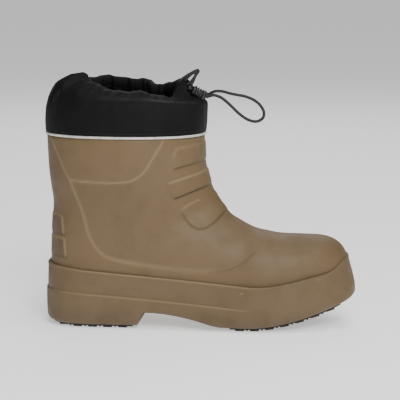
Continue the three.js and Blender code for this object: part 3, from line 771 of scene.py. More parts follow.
@dataclass
class CupSole:
    """The foam cup sole with its foxing wall, its ledges, the heel and the arch."""

    last: Last
    outline: Outline
    foxing: float = 4.5
    toe_foxing: float = 1.2
    band_step: float = 1.3
    heel_band: float = 36.5
    ball_band: float = 21.5
    edge: float = 6.5
    arch_edge: float = 1.6
    arch_rise: float = 17.0
    tread: float = 3.4
    stud_pitch: float = 6.0
    stud_lines: tuple[float, ...] = (27.6, 42.8, 57.9, 73.1, 205.2, 219.9, 234.6, 249.4, 264.1, 278.8)
    # rings of the wall from the ledge up: share of the way to the feather line, outset over the foxing,
    # height over the ledge as a share of the wall, how much of the ledge's step and of the toe's lean
    # they take, and how strong a painted highlight they get as part of the ledge and of the wall's top
    wall: tuple[tuple[float, ...], ...] = (
        (0.0, 0.42, -0.035, 0.0, 0.5, 0.0, 0.0),
        (0.0, 0.3, -0.005, 0.0, 0.5, 0.75, 0.0),
        (0.01, 0.1, 0.018, 0.3, 0.5, 1.0, 0.0),
        (0.02, 0.1, 0.03, 0.75, 0.52, 1.0, 0.0),
        (0.04, 0.2, 0.045, 1.0, 0.53, 0.0, 0.0),
        (0.1, 0.42, 0.09, 1.0, 0.55, 0.0, 0.0),
        (0.3, 0.42, 0.3, 1.0, 0.66, 0.0, 0.0),
        (0.5, 0.25, 0.5, 1.0, 0.78, 0.0, 0.0),
        (0.68, 0.0, 0.7, 1.0, 0.88, 0.0, 0.0),
        (0.8, -0.12, 0.82, 1.0, 0.95, 0.0, 0.0),
        (0.88, -0.05, 0.9, 1.0, 0.98, 0.0, 0.0),
        (0.93, 0.1, 0.95, 0.9, 1.0, 0.0, 0.3),
        (0.97, 0.0, 0.982, 0.9, 1.0, 0.0, 1.0),
        (0.985, -0.35, 1.0, 0.9, 1.0, 0.0, 1.0),
        (1.0, -0.9, 1.012, 0.9, 1.0, 0.0, 1.0),
    )
    # section of the insole: how far inside the lower outline, and height over the footbed
    insole_rings: Line = (
        (-12, 0.3), (-9.4, 0.5), (-8.6, 1.6), (-8.5, 3.0), (-8.9, 4.3), (-10.2, 5.0), (-14.0, 5.1),
    )

    def __post_init__(self) -> None:
        """Works out the lower outline and the feather line."""
        self.lines = self.outline.rings()

    def _foxing(self, x: Array, lean: float) -> Array:
        """Gives how far the wall stands out, less towards the toe's top."""
        length = self.last.length
        return self.foxing + (self.toe_foxing - self.foxing) * lean * ease(0.85 * length, 0.98 * length, x)

    def _band(self, x: Array) -> Array:
        """Gives the height of the middle ledge.

        Args:
            x: Places along the foot.

        Returns:
            The heights.
        """
        last = self.last
        t = np.clip(x / (last.ball * last.length), 0, 1) ** 1.2
        return self.heel_band + (self.ball_band - self.heel_band) * t + last.spring(x)

    def _arch(self, x: Array) -> Array:
        """Gives the height of the arch over the floor, or 0 outside it.

        Args:
            x: Places along the foot.

        Returns:
            The heights.
        """
        last = self.last
        breast, top, end = (v * last.length for v in (self.outline.breast, last.arch_top, last.arch_end))
        curve = self.arch_rise * (1 - np.clip((x - top) / (end - top), 0, 1) ** 2)
        rise = np.clip((x - breast) / (top - breast), 0.0, 1.0) ** 0.6
        return np.where(x <= breast + 0.2, 0.0, curve * rise)

    def stud_places(self) -> Array:
        """Gives the middles of the studs between the treads' lugs.

        Returns:
            One point for each stud.
        """
        base = self.lines[0]
        half = len(base) // 2
        margin, middle = 6.0, 1.55
        places = []
        for x in self.stud_lines:
            outer = float(np.interp(x, base[: half + 1, 0], base[: half + 1, 1]))
            inner = float(np.interp(x, base[half:, 0][::-1], base[half:, 1][::-1]))
            count = int((inner - outer - 10) / self.stud_pitch)
            for y in np.linspace(outer + margin, inner - margin, count):
                places.append((x, float(y), float(self.last.spring(np.array(x))) + middle))
        return np.array(places)

    def underside(self, x: Array) -> Array:
        """Gives the height of the foam's underside."""
        return np.maximum(self.last.spring(x) + self.tread, self._arch(x))

    def ring(self, share: float, outset: Array | float, height: Array) -> Array:
        """Gives one ring of the sole.

        Args:
            share: 0 at the lower outline and 1 at the feather line.
            outset: How far the ring stands out of the outline.
            height: Its height at each point.

        Returns:
            The ring's points.
        """
        line = self.lines[0] * (1 - share) + self.lines[1] * share
        tangent = np.roll(line, -1, 0) - np.roll(line, 1, 0)
        out = np.stack([tangent[:, 1], -tangent[:, 0], np.zeros(len(line))], -1)
        out /= np.maximum(np.linalg.norm(out, axis=1, keepdims=True), SAME)
        place = line + out * np.broadcast_to(outset, len(line))[:, None]
        place[:, 2] = height
        return place

    def cup(self, material: Material) -> Object:
        """Builds the whole cup as one closed skin.

        Args:
            material: The piece's finish.

        Returns:
            The new object at the origin.
        """
        x0 = self.lines[0][:, 0]
        low = self.underside(x0)
        arch = ease(0.0, 3.0, self._arch(x0) - self.last.spring(x0) - self.tread)
        radius = self.edge + (self.arch_edge - self.edge) * arch
        rings = []
        for turn in np.linspace(0, math.pi / 2, 9):
            inset, rise = radius * (1 - math.sin(turn)), radius * (1 - math.cos(turn))
            rings.append(self.ring(0, self._foxing(x0, 0) - inset, low + rise))
        band, feather = self._band(x0), self.outline.feather(x0)
        start = low + radius
        for part in (0.2, 0.45, 0.7, 0.88):
            swell = 0.4 * part + 0.35 * math.sin(math.pi * part)
            rings.append(self.ring(0, self._foxing(x0, 0.5 * part) + swell, start + part * (band - start)))
        length = self.last.length
        fade = ease(0.58 * length, 0.7 * length, x0)
        step = self.band_step * (1 - fade)
        toe = ease(0.62 * length, 0.78 * length, x0)
        back = 0.35 + 0.65 * ease(4.0, 30.0, x0)
        before = len(rings)
        for share, outset, rise, stepped, lean, *_ in self.wall:
            out = outset + (0.42 - outset) * fade * (share < 0.09)
            height = band + rise * (feather - band)
            rings.append(self.ring(share, self._foxing(x0, lean) - stepped * step + out, height))
        tuck = np.minimum(self._foxing(x0, 1) - 1.8 - 0.7 * step, 0.7)
        base, floor = feather - self.outline.base_drop, self.last.footbed(x0)
        for share, outset, height in (
            (1.0, tuck, feather + 0.4 * (1 - toe)),
            (1.0, 0.1, feather - 0.4),
            (0.98, 0.1, feather - 2.2),
            (0.5, 0.35, feather - 7.0),
            (0.0, 0.35, base),
            (0.0, -3.0, (base + floor) / 2 - 1.5),
            (0.0, -9.0, floor - 0.5),
        ):
            rings.append(self.ring(share, outset, height))
        skin = np.array(rings)
        layers = {"ridge_highlight": np.zeros(skin.shape[:2]), "painted_shade": np.zeros(skin.shape[:2])}
        # painted highlight along the ledge and the wall's top edge
        for number, (*_, ledge, lip) in enumerate(self.wall):
            layers["ridge_highlight"][before + number] = back * (ledge * (1 - fade) + lip * (1 - toe))
        # painted shade along the toe's tuck under the upper
        layers["painted_shade"][before + len(self.wall)] = 0.5 * toe
        return self._join("sole_cup", skin, (14, 8), layers, material)

    def insole(self, material: Material) -> Object:
        """Builds the felt insole, which lies on the cup's floor under the lining.

        Args:
            material: The piece's finish.

        Returns:
            The new object at the origin.
        """
        floor = self.last.footbed(self.lines[0][:, 0])
        rings = [self.ring(0.0, outset, floor + rise) for outset, rise in self.insole_rings]
        return self._join("insole_felt", np.array(rings), (6, 6), {}, material)

    def _across(self, ring: Array, count: int) -> Array:
        """Gives lines of points across the boot between the two sides of a ring.

        Args:
            ring: The ring's points.
            count: How many strips lie between the sides.

        Returns:
            The lines between the strips, without the sides.
        """
        half = len(ring) // 2
        outer = ring[: half + 1]
        inner = np.vstack([ring[:1], ring[half:][::-1]])
        share = np.linspace(0, 1, count + 1)[1:-1][:, None, None]
        return outer[None] * (1 - share) + inner[None] * share

    def _join(
        self,
        name: str,
        rings: Array,
        strips: tuple[int, int],
        layers: dict[str, Array],
        material: Material,
    ) -> Object:
        """Makes one mesh of rings and the two faces that close them below and above.

        Args:
            name: The piece's name.
            rings: The rings' points.
            strips: How many strips lie side by side in the lower and the upper face.
            layers: Values that colour the rings' points.
            material: The piece's finish.

        Returns:
            The new object at the origin.
        """
        count, sides = rings.shape[:2]
        half = sides // 2
        faces = Surface(rings).faces().tolist()
        points = [rings.reshape(-1, 3)]
        total = count * sides
        for ring, strip_count, turned in ((0, strips[0], True), (count - 1, strips[1], False)):
            lines, first = self._across(rings[ring], strip_count), ring * sides
            outer = [first + i for i in range(half + 1)]
            inner = [first] + [first + sides - i for i in range(1, half)] + [first + half]
            columns = [outer]
            for k in range(len(lines)):
                middle = [total + k * (half - 1) + i for i in range(half - 1)]
                columns.append([outer[0], *middle, outer[-1]])
            columns.append(inner)
            points.append(lines[:, 1:-1].reshape(-1, 3))
            total += len(lines) * (half - 1)
            for a, b in zip(columns, columns[1:]):
                for i in range(half):
                    face = [a[i], a[i + 1], b[i + 1], b[i]]
                    face = [v for j, v in enumerate(face) if v not in face[:j]]
                    if len(face) > 2:
                        faces.append(face[::-1] if turned else face)
        obj = make_piece(name, np.vstack(points), faces, material, layers)
        turn_outwards(obj)
        return obj


def turn_outwards(obj: Object) -> None:
    """Turns the faces of a closed mesh outwards.

    Args:
        obj: The piece.
    """
    made = bmesh.new()
    made.from_mesh(obj.data)
    bmesh.ops.recalc_face_normals(made, faces=made.faces)
    made.to_mesh(obj.data)
    made.free()


@dataclass
class Gaiter:
    """The gathered cloth gaiter and the piping at its foot."""

    last: Last
    height: float = 56.0
    cloth: float = 1.2
    lip_inset: float = 2.6
    gap: float = 0.3
    opening_length: float = 92.0
    opening_width: float = 58.0
    girth: float = 430.0
    sides: int = 480
    # height as a share of the gaiter's, how far back, front and sides lie inside the lowest oval as
    # shares of the collar's width, and how full the cloth is
    cuff: tuple[tuple[float, ...], ...] = (
        (0.0, 0.0, 0.0, 0.0, 0.0),
        (0.026, 0.0, 0.0, 0.0, 0.0),
        (0.043, -0.02, -0.02, -0.019, 0.1),
        (0.12, -0.025, -0.028, -0.024, 0.2),
        (0.27, -0.026, -0.034, -0.03, 0.4),
        (0.48, -0.014, -0.036, -0.028, 0.6),
        (0.57, -0.001, -0.03, -0.023, 0.65),
        (0.65, 0.014, 0.004, -0.01, 0.7),
        (0.73, 0.035, 0.042, 0.012, 0.85),
        (0.81, 0.062, 0.09, 0.043, 1.0),
        (0.93, 0.134, 0.155, 0.11, 1.0),
        (1.0, 0.235, 0.205, 0.175, 0.8),
    )
    square: float = 2.25
    piping_size: float = 2.5
    piping_sides: int = 14
    piping_lay: float = 0.67  # of its UV map, from one side to the next
    # direction in degrees, 0 at the front and 90 on the inner side, and the crest's height there
    crest_heights: Line = (
        (0, 241.2), (12, 243.4), (22, 242.6), (32, 240.5), (42, 239.6), (51, 237.8), (62, 238.4), (73, 242),
        (88, 243), (104, 244), (114, 246.2), (126, 245.8), (138, 244.2), (152, 245.8), (166, 248),
        (180, 249.4), (194, 250.2), (206, 251), (215, 252.8), (223, 248.6), (231, 244.2), (240, 242.6),
        (252, 237.6), (266, 236), (278, 235.2), (291, 235.6), (303, 232.8), (313, 230.8), (325, 228.6),
        (335, 228.4), (345, 232), (353, 237.5),
    )
    # pleats: direction, width in degrees, depth, and how far down they run
    pleats: tuple[tuple[float, float, float, float], ...] = (
        (212, 3.4, 4.4, 0.5), (205, 3.6, -2.2, 0.4), (219, 3.6, -1.6, 0.42), (197, 3.4, 2.4, 0.42),
        (188, 3.6, -1.4, 0.3), (225, 3.0, 2.4, 0.4), (233, 4.5, -1.2, 0.36), (241, 4.5, 1.7, 0.42),
        (259, 5.0, 1.9, 0.36), (268, 4.0, -1.2, 0.32), (277, 4.5, 1.6, 0.4), (289, 4.0, -0.9, 0.35),
        (301, 5.0, 1.7, 0.42), (317, 4.5, -1.2, 0.4), (327, 4.5, 2.0, 0.42), (340, 5.0, -1.8, 0.4),
        (352, 8.0, -3.4, 0.55), (5, 3.6, 1.8, 0.4), (15, 7.0, -4.2, 0.5), (28, 4.0, 2.0, 0.4),
        (38, 5.0, 2.6, 0.45), (63, 5.0, 2.2, 0.42), (84, 6.0, 1.6, 0.38), (112, 5.0, 1.6, 0.38),
        (131, 5.0, 1.5, 0.38), (149, 5.0, 2.0, 0.42), (168, 4.0, 1.2, 0.3),
    )
    # key sections of the skin. The cuff's: height as a share, and how gathered the cloth is there
    outer_keys: Line = (
        (0.0, 0.0), (0.026, 0.0), (0.045, 0.02), (0.09, 0.03), (0.17, 0.05), (0.27, 0.12), (0.38, 0.2),
        (0.48, 0.3), (0.57, 0.42), (0.65, 0.54), (0.73, 0.66), (0.81, 0.8), (0.88, 0.92),
    )
    inner_keys: Line = ((0.7, 0.6), (0.57, 0.42), (0.42, 0.25), (0.27, 0.12), (0.12, 0.03), (0.0, 0.0))
    # the hem's: how far outside the opening, and how far below the crest
    hem_keys: Line = (
        (10.5, 1.3), (7.6, 0.5), (5.2, 0.1), (3.0, 0.0), (1.2, 0.9), (0.2, 2.6), (0.0, 6.0), (1.2, 10.5),
        (4.5, 15.0),
    )
    rows_each: int = 6  # rows of the mesh from one key section to the next
    seams: tuple[tuple[str, int], ...] = (("foot", 3), ("casing", 12))  # the key sections they lie on

    def __post_init__(self) -> None:
        """Works out the oval at the gaiter's foot."""
        part = self.last.section(np.array([self.last.level(self.last.rim)]))
        self.inset = self.lip_inset - self.gap - self.cloth
        self.back = float(part["back"][0, 0])
        self.front = float(part["front"][0, 0])
        self.half = float(part["half"][0])

    def oval(self, angle: Array, back: float, front: float, half: float, grow: Array | float = 0.0) -> Array:
        """Gives points of an oval in plan: angle 0 is the front and a quarter turn the inner side.

        Args:
            angle: The directions.
            back: The oval's back end.
            front: Its front end.
            half: Half its width.
            grow: How far outside the oval the points lie.

        Returns:
            The points as (x, y).
        """
        cos, sin = np.cos(angle), np.sin(angle)
        reach = (np.abs(cos) ** self.square + np.abs(sin) ** self.square) ** (-1 / self.square)
        x = (back + front) / 2 + ((front - back) / 2 + grow) * reach * cos
        return np.stack(np.broadcast_arrays(x, (half + grow) * reach * sin), -1)

    def rows(self, rise: Array) -> tuple[Array, Array, Array]:
        """Gives back, front and half width of the cuff at heights from 0 to 1.

        Args:
            rise: The heights, as shares of the gaiter's.

        Returns:
            The three at each height.
        """
        table = np.array(self.cuff)
        at = np.interp(rise, table[:, 0], np.arange(len(table)))
        values = spline(table, at)
        back = self.back + self.inset + values[..., 1] * self.last.collar_width
        front = self.front - self.inset - values[..., 2] * self.last.collar_width
        half = self.half - self.inset - values[..., 3] * self.last.collar_width
        return back, front, half

    def crest(self, angle: Array) -> Array:
        """Gives the height of the hem's crest round the opening, in the photograph's waves.

        Args:
            angle: The directions.

        Returns:
            The heights.
        """
        table = np.array(self.crest_heights)
        degrees = np.degrees(angle) % 360.0
        places = np.append(table[:, 0], 360.0)
        at = np.interp(degrees, places, np.arange(len(places)))
        return spline(table[:, 1], at, closed=True)

    def folds(self, angle: Array, pull: Array) -> Array:
        """Gives how far the gathered cloth stands in or out.

        Args:
            angle: Direction round the opening.
            pull: How strongly the drawcord gathers the cloth there, 0 at the foot and 1 at the hem.

        Returns:
            The distance outwards.
        """
        wave = 1.25 * np.cos(15 * angle + 1.3 * np.sin(3 * angle))
        wave = wave + 0.5 * np.cos(23 * angle + 2.1 * np.sin(2 * angle + 0.7))
        wave = wave + 0.6 * np.cos(41 * angle + 1.7 * np.sin(5 * angle)) * pull
        wave = wave * (0.75 + 0.35 * np.sin(2 * angle + 0.4))
        out = wave * np.clip(pull, 0, 1.2) ** 1.5
        for degrees, width, depth, reach in self.pleats:
            lean = math.radians(degrees) + 0.05 * (1 - pull) * math.copysign(1, depth)
            turn = np.angle(np.exp(1j * (angle - lean)))
            spread = math.radians(width) * (0.55 + 0.75 * (1 - pull))
            out = out - depth * np.exp(-((turn / spread) ** 2)) * ease(1 - reach, 1.0, pull)
        return out

    def cover(self, material: Material) -> Object:
        """Builds the gaiter's cloth as one closed skin, outside, hem and inside.

        Args:
            material: The piece's finish.

        Returns:
            The new object at the origin.
        """
        base = self.last.rim + self.gap
        angle = 2 * math.pi * np.arange(self.sides) / self.sides
        crest = self.crest(angle)
        top_back, top_front, _ = (float(v[0]) for v in self.rows(np.array([1.0])))
        middle = (top_back + top_front) / 2
        keys = []

        def cuff_key(rise: float, pull: float, inward: float) -> None:
            """Adds a section of the cuff.

            Args:
                rise: Its height, as a share of the gaiter's.
                pull: How strongly the cloth is gathered there.
                inward: How far inside the outer skin it lies.
            """
            back, front, half = (float(v[0]) for v in self.rows(np.array([rise])))
            height = base + rise * self.height + (crest - base - self.height) * ease(0.55, 1.0, rise)
            sag = 0.5 * np.cos(9 * angle + 0.8) * ease(0.2, 0.6, rise) * (1 - ease(0.8, 1.0, rise))
            out = self.folds(angle, np.full_like(angle, pull)) + sag - inward
            plan = self.oval(angle, back, front, half, out)
            keys.append(np.concatenate([plan, height[:, None] - 0.8 * inward * pull], -1))

        def hem_key(grow: float, drop: float) -> None:
            """Adds a section of the hem round the opening.

            Args:
                grow: How far outside the opening it lies.
                drop: How far it lies below the crest.
            """
            length, width = self.opening_length / 2, self.opening_width / 2
            fold = self.folds(angle, np.ones_like(angle))
            plan = self.oval(angle, middle - length, middle + length, width, grow + 0.9 * fold)
            keys.append(np.concatenate([plan, (crest - drop + 0.35 * fold)[:, None]], -1))

        for key in self.outer_keys:
            cuff_key(*key, 0.0)
        for key in self.hem_keys:
            hem_key(*key)
        for key in self.inner_keys:
            cuff_key(*key, self.cloth)
        last_key = len(keys) - 1
        rows = spline(np.array(keys), np.linspace(0, last_key, last_key * self.rows_each + 1))
        self.seam_lines = {name: rows[key * self.rows_each] for name, key in self.seams}
        run = along(rows[:, 0])
        uv = np.stack(np.broadcast_arrays(angle[None, :] / (2 * math.pi) * self.girth, run[:, None]), -1)
        return Surface(rows, hoop=True, uv=uv).object("gaiter_cloth", material)

    def piping(self, material: Material) -> Object:
        """Builds the piping round the foot of the gaiter.

        Args:
            material: The piece's finish.

        Returns:
            The new object at the origin.
        """
        back, front, half = (float(v[0]) for v in self.rows(np.array([0.0])))
        angle = 2 * math.pi * np.arange(self.sides) / self.sides
        rings = []
        radius = self.piping_size / 2
        for turn in 2 * math.pi * np.arange(self.piping_sides) / self.piping_sides:
            plan = self.oval(angle, back, front, half, self.gap + radius * (1 + math.cos(turn)))
            level = np.full((self.sides, 1), self.last.rim + radius * (1 + math.sin(turn)))
            rings.append(np.concatenate([plan, level], -1))
        run = np.arange(self.piping_sides)[:, None] * self.piping_lay
        uv = np.stack(np.broadcast_arrays(angle[None, :] / (2 * math.pi) * self.girth, run), -1)
        return Surface(np.array(rings), hoop=True, uv=uv).object("piping_tape", material)


@dataclass
class Repeats:
    """Small forms set along lines or on points by Geometry Nodes, and made plain meshes."""

    material: Material

    def _tree(self, name: str, sizes: dict[str, float]) -> Tree:
        """Makes a tree with its geometry sockets and one named input for each size.

        Args:
            name: The tree's name.
            sizes: The sizes in metres, by the names of their inputs.

        Returns:
            The new tree.
        """
        tree = bpy.data.node_groups.new(name, "GeometryNodeTree")
        tree.interface.new_socket("Geometry", in_out="INPUT", socket_type="NodeSocketGeometry")
        tree.interface.new_socket("Geometry", in_out="OUTPUT", socket_type="NodeSocketGeometry")
        for size in sizes:
            tree.interface.new_socket(size, in_out="INPUT", socket_type="NodeSocketFloat")
        return tree

    def _finish(self, tree: Tree, shapes: Socket) -> None:
        """Ends a tree with real geometry that has the finish.

        Args:
            tree: The tree.
            shapes: Its instances.
        """
        real = node(tree, "GeometryNodeRealizeInstances", {0: shapes})
        smooth = node(tree, "GeometryNodeSetShadeSmooth", {"Geometry": real.outputs[0]})
        inputs = {"Geometry": smooth.outputs[0], "Material": self.material}
        dressed = node(tree, "GeometryNodeSetMaterial", inputs)
        node(tree, "NodeGroupOutput", {0: dressed.outputs[0]})

    def _apply(self, name: str, mesh: Mesh, tree: Tree, sizes: dict[str, float]) -> Object:
        """Runs a tree on a mesh and keeps its result as a plain mesh.

        Args:
            name: The new piece's name.
            mesh: What the tree starts from.
            tree: The tree.
            sizes: The sizes in metres, by the names of the tree's inputs.

        Returns:
            The new object at the origin.
        """
        base = bpy.data.objects.new(name + "_base", mesh)
        bpy.context.collection.objects.link(base)
        modifier = base.modifiers.new("repeat", "NODES")
        modifier.node_group = tree
        for item in tree.interface.items_tree:
            if item.name in sizes:
                modifier[item.identifier] = sizes[item.name]
        result = bpy.data.meshes.new_from_object(base.evaluated_get(bpy.context.evaluated_depsgraph_get()))
        base.modifiers.remove(modifier)
        bpy.data.objects.remove(base)
        result.name = name
        obj = bpy.data.objects.new(name, result)
        bpy.context.collection.objects.link(obj)
        return obj

    def stitches(self, name: str, line: Array, pitch: float, length: float, thread: float) -> Object:
        """Sews a closed line of stitches.

        Args:
            name: The piece's name.
            line: The line's points, in millimetres from the back of the last.
            pitch: From one stitch to the next.
            length: How long each stitch is.
            thread: How thick the thread is.

        Returns:
            The stitches as one piece.
        """
        mesh = bpy.data.meshes.new(name + "_line")
        count = len(line)
        mesh.from_pydata(placed(line), [(i, (i + 1) % count) for i in range(count)], [])
        sizes = {"Pitch": pitch * MM, "Stitch Length": length * MM, "Thread": thread * MM}
        tree = self._tree(name, sizes)
        given = node(tree, "NodeGroupInput").outputs
        curve = node(tree, "GeometryNodeMeshToCurve", {0: given[0]})
        inputs = {"Curve": curve.outputs[0], "Length": given["Pitch"]}
        even = node(tree, "GeometryNodeResampleCurve", inputs, mode="LENGTH")
        shape = node(tree, "GeometryNodeMeshUVSphere", {"Segments": 6, "Rings": 5, "Radius": 0.5})
        inputs = {0: given["Stitch Length"], 1: given["Thread"], 2: given["Thread"]}
        size = node(tree, "ShaderNodeCombineXYZ", inputs)
        onward = node(tree, "GeometryNodeInputTangent")
        turned = node(tree, "FunctionNodeAlignRotationToVector", {"Vector": onward.outputs[0]}, axis="X")
        inputs = {
            "Points": even.outputs[0],
            "Instance": shape.outputs[0],
            "Rotation": turned.outputs[0],
            "Scale": size.outputs[0],
        }
        self._finish(tree, node(tree, "GeometryNodeInstanceOnPoints", inputs).outputs[0])
        return self._apply(name, mesh, tree, sizes)

    def studs(self, name: str, places: Array, radius: float, height: float) -> Object:
        """Sets small round studs upright on points.

        Args:
            name: The piece's name.
            places: The studs' middles, in millimetres from the back of the last.
            radius: Each stud's radius.
            height: Each stud's height.

        Returns:
            The studs as one piece.
        """
        mesh = bpy.data.meshes.new(name + "_places")
        mesh.from_pydata(placed(places), [], [])
        sizes = {"Stud Radius": radius * MM, "Stud Height": height * MM}
        tree = self._tree(name, sizes)
        given = node(tree, "NodeGroupInput").outputs
        inputs = {"Vertices": 10, "Radius": given["Stud Radius"], "Depth": given["Stud Height"]}
        shape = node(tree, "GeometryNodeMeshCylinder", {**inputs, "Side Segments": 1})
        inputs = {"Points": given[0], "Instance": shape.outputs[0]}
        self._finish(tree, node(tree, "GeometryNodeInstanceOnPoints", inputs).outputs[0])
        return self._apply(name, mesh, tree, sizes)


@dataclass
class Cord:
    """A cord or flat tab along a route, whose points are given from the gaiter's shoulder."""

    name: str
    route: tuple[tuple[float, float, float], ...]
    diameter: float
    flat: float = 1.0  # how thick the cord is across the picture, as a share of its height
    lay: float = 3.0  # millimetres along the cord for each unit of its UV map
    sides: int = 12
    steps: int = 9

    def line(self) -> Array:
        """Gives the smooth line of the cord."""
        points = np.array(self.route) + SHOULDER
        return spline(points, np.linspace(0, len(points) - 1, (len(points) - 1) * self.steps + 1))

    def tube(self, material: Material) -> Object:
        """Builds the cord as a closed tube.

        Args:
            material: The piece's finish.

        Returns:
            The new object at the origin.
        """
        line = self.line()
        tangent = np.gradient(line, axis=0)
        tangent /= np.linalg.norm(tangent, axis=1, keepdims=True)
        side = np.cross(tangent[0], (0, 0, 1.0))
        frames = []
        for t in tangent:
            side = side - t * side.dot(t)
            side /= np.linalg.norm(side)
            frames.append((side, np.cross(t, side)))
        share = np.arange(self.sides) / self.sides
        cos, sin = self.flat * np.cos(2 * math.pi * share)[:, None], np.sin(2 * math.pi * share)[:, None]
        rings = [p + self.diameter / 2 * (cos * a + sin * b) for p, (a, b) in zip(line, frames)]
        uv = np.stack(np.broadcast_arrays(share[None, :], along(line)[:, None] / self.lay), -1)
        return Surface(np.array(rings), caps=(True, True), uv=uv).object(self.name, material)

    def declare(self, obj: Object, target: str) -> None:
        """Hides the node that the cord stands for and lets the cord ride with the boot.

        Args:
            obj: The cord's piece.
            target: The node's name.
        """
        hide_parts(target)
        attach(obj, "root")
        float(along(self.line())[-1]) * MM


def linear(colour: str) -> tuple[float, float, float, float]:
    """Turns an sRGB hex colour such as #80604A into Blender's linear values."""
    values = [int(colour[k : k + 2], 16) / 255 for k in (1, 3, 5)]
    return (*[v / 12.92 if v <= 0.04045 else ((v + 0.055) / 1.055) ** 2.4 for v in values], 1.0)


def node(tree: Tree, kind: str, inputs: dict | None = None, **settings: object) -> Node:
    """Adds one node with its settings and links.

    Args:
        tree: The tree that gets the node.
        kind: The node's type, such as ShaderNodeMath.
        inputs: What goes into its sockets, by name or number: a value, or an output to link.
        settings: Values of the node's own properties.

    Returns:
        The new node.
    """
    made = tree.nodes.new(kind)
    for name, value in settings.items():
        setattr(made, name, value)
    for key, value in (inputs or {}).items():
        if isinstance(value, Socket):
            tree.links.new(value, made.inputs[key])
        else:
            made.inputs[key].default_value = value
    return made


@dataclass(frozen=True)
class Finish:
    """What every finish has: its real name, its colour, how rough it is and how it shines."""

    name: str
    colour: str
    rough: float
    ior: float = 1.5
    sheen: float = 0.0
    sheen_rough: float = 0.5

    def start(self) -> tuple[Material, Tree, Node]:
        """Makes the material and gives its tree and its shader.

        Returns:
            The three.
        """
        made = bpy.data.materials.new(self.name)
        made.use_nodes = True
        shader = made.node_tree.nodes["Principled BSDF"]
        for socket, value in (
            ("Base Color", linear(self.colour)),
            ("Roughness", self.rough),
            ("IOR", self.ior),
            ("Sheen Weight", self.sheen),
            ("Sheen Roughness", self.sheen_rough),
        ):
            shader.inputs[socket].default_value = value
        return made, made.node_tree, shader

    def patches(self, tree: Tree, size: float, detail: float = 2.0, seed: float = 0.0) -> Socket:
        """Lays uneven patches over the piece, on the object's own coordinates.

        Args:
            tree: The material's tree.
            size: The width of the patches in millimetres.
            detail: How much finer unevenness lies on them.
            seed: Where the noise is read, so that two patterns differ.

        Returns:
            The pattern, from 0 to 1.
        """
        place = node(tree, "ShaderNodeTexCoord").outputs["Object"]
        moved = node(tree, "ShaderNodeMapping", {"Vector": place, "Location": (seed, seed * 0.7, -seed)})
        inputs = {"Vector": moved.outputs[0], "Scale": 1.0 / (size * MM), "Detail": detail}
        return node(tree, "ShaderNodeTexNoise", inputs).outputs["Fac"]

    def crossing(self, tree: Tree, runs: tuple[Socket, Socket], turns: float) -> Socket:
        """Gives two sets of waves that cross, as in a weave.

        Args:
            tree: The material's tree.
            runs: How far along each of the two directions a place lies.
            turns: Radians for each unit of them.

        Returns:
            The pattern, from -1 to 1.
        """
        waves = []
        for run in runs:
            phase = node(tree, "ShaderNodeMath", {0: run, 1: turns}, operation="MULTIPLY")
            waves.append(node(tree, "ShaderNodeMath", {0: phase.outputs[0]}, operation="SINE"))
        inputs = {0: waves[0].outputs[0], 1: waves[1].outputs[0]}
        return node(tree, "ShaderNodeMath", inputs, operation="MULTIPLY").outputs[0]

    def tint(
        self,
        tree: Tree,
        colour: Socket | tuple[float, ...],
        tone: str,
        pattern: Socket,
        share: float = 1.0,
        limits: tuple[float, float] | None = None,
    ) -> Socket:
        """Lays a tone over a colour where a pattern is strong.

        Args:
            tree: The material's tree.
            colour: The colour below.
            tone: The tone's hex colour.
            pattern: The pattern.
            share: How much of the tone shows at most.
            limits: Where in the pattern the tone starts and where it is full. Without them it follows
                the pattern's own value.

        Returns:
            The new colour.
        """
        low, high = limits or (0.0, 1.0)
        inputs = {"Value": pattern, "From Min": low, "From Max": high, "To Min": 0.0, "To Max": share}
        kind = "SMOOTHSTEP" if limits else "LINEAR"
        strength = node(tree, "ShaderNodeMapRange", inputs, interpolation_type=kind)
        inputs = {0: strength.outputs[0], 6: colour, 7: linear(tone)}
        return node(tree, "ShaderNodeMix", inputs, data_type="RGBA").outputs[2]

    def finish(
        self,
        tree: Tree,
        shader: Node,
        colour: Socket,
        bumps: tuple[tuple[Socket, float, float], ...],
        gloss: tuple[Socket, float, float] | None = None,
    ) -> None:
        """Links a finish's colour, bumps and roughness to its shader.

        Args:
            tree: The material's tree.
            shader: Its shader.
            colour: The finished colour.
            bumps: Height, depth in millimetres and strength of each bump, the lowest first.
            gloss: A pattern, and how much the roughness changes where it is weak and where it is strong.
        """
        tree.links.new(colour, shader.inputs["Base Color"])
        if gloss:
            pattern, weak, strong = gloss
            spread = {"To Min": self.rough + weak, "To Max": self.rough + strong}
            inputs = {"Value": pattern, "From Min": 0.3, "From Max": 0.7, **spread}
            rough = node(tree, "ShaderNodeMapRange", inputs, interpolation_type="SMOOTHSTEP")
            tree.links.new(rough.outputs[0], shader.inputs["Roughness"])
        under = {}
        for height, depth, strength in bumps:
            inputs = {"Height": height, "Distance": depth * MM, "Strength": strength, **under}
            under = {"Normal": node(tree, "ShaderNodeBump", inputs).outputs[0]}
        tree.links.new(under["Normal"], shader.inputs["Normal"])

    def unrolled(self, tree: Tree) -> bpy.types.bpy_prop_collection:
        """Gives the piece's own UV map: around it and along it."""
        uv = node(tree, "ShaderNodeUVMap", uv_map="own")
        return node(tree, "ShaderNodeSeparateXYZ", {0: uv.outputs[0]}).outputs


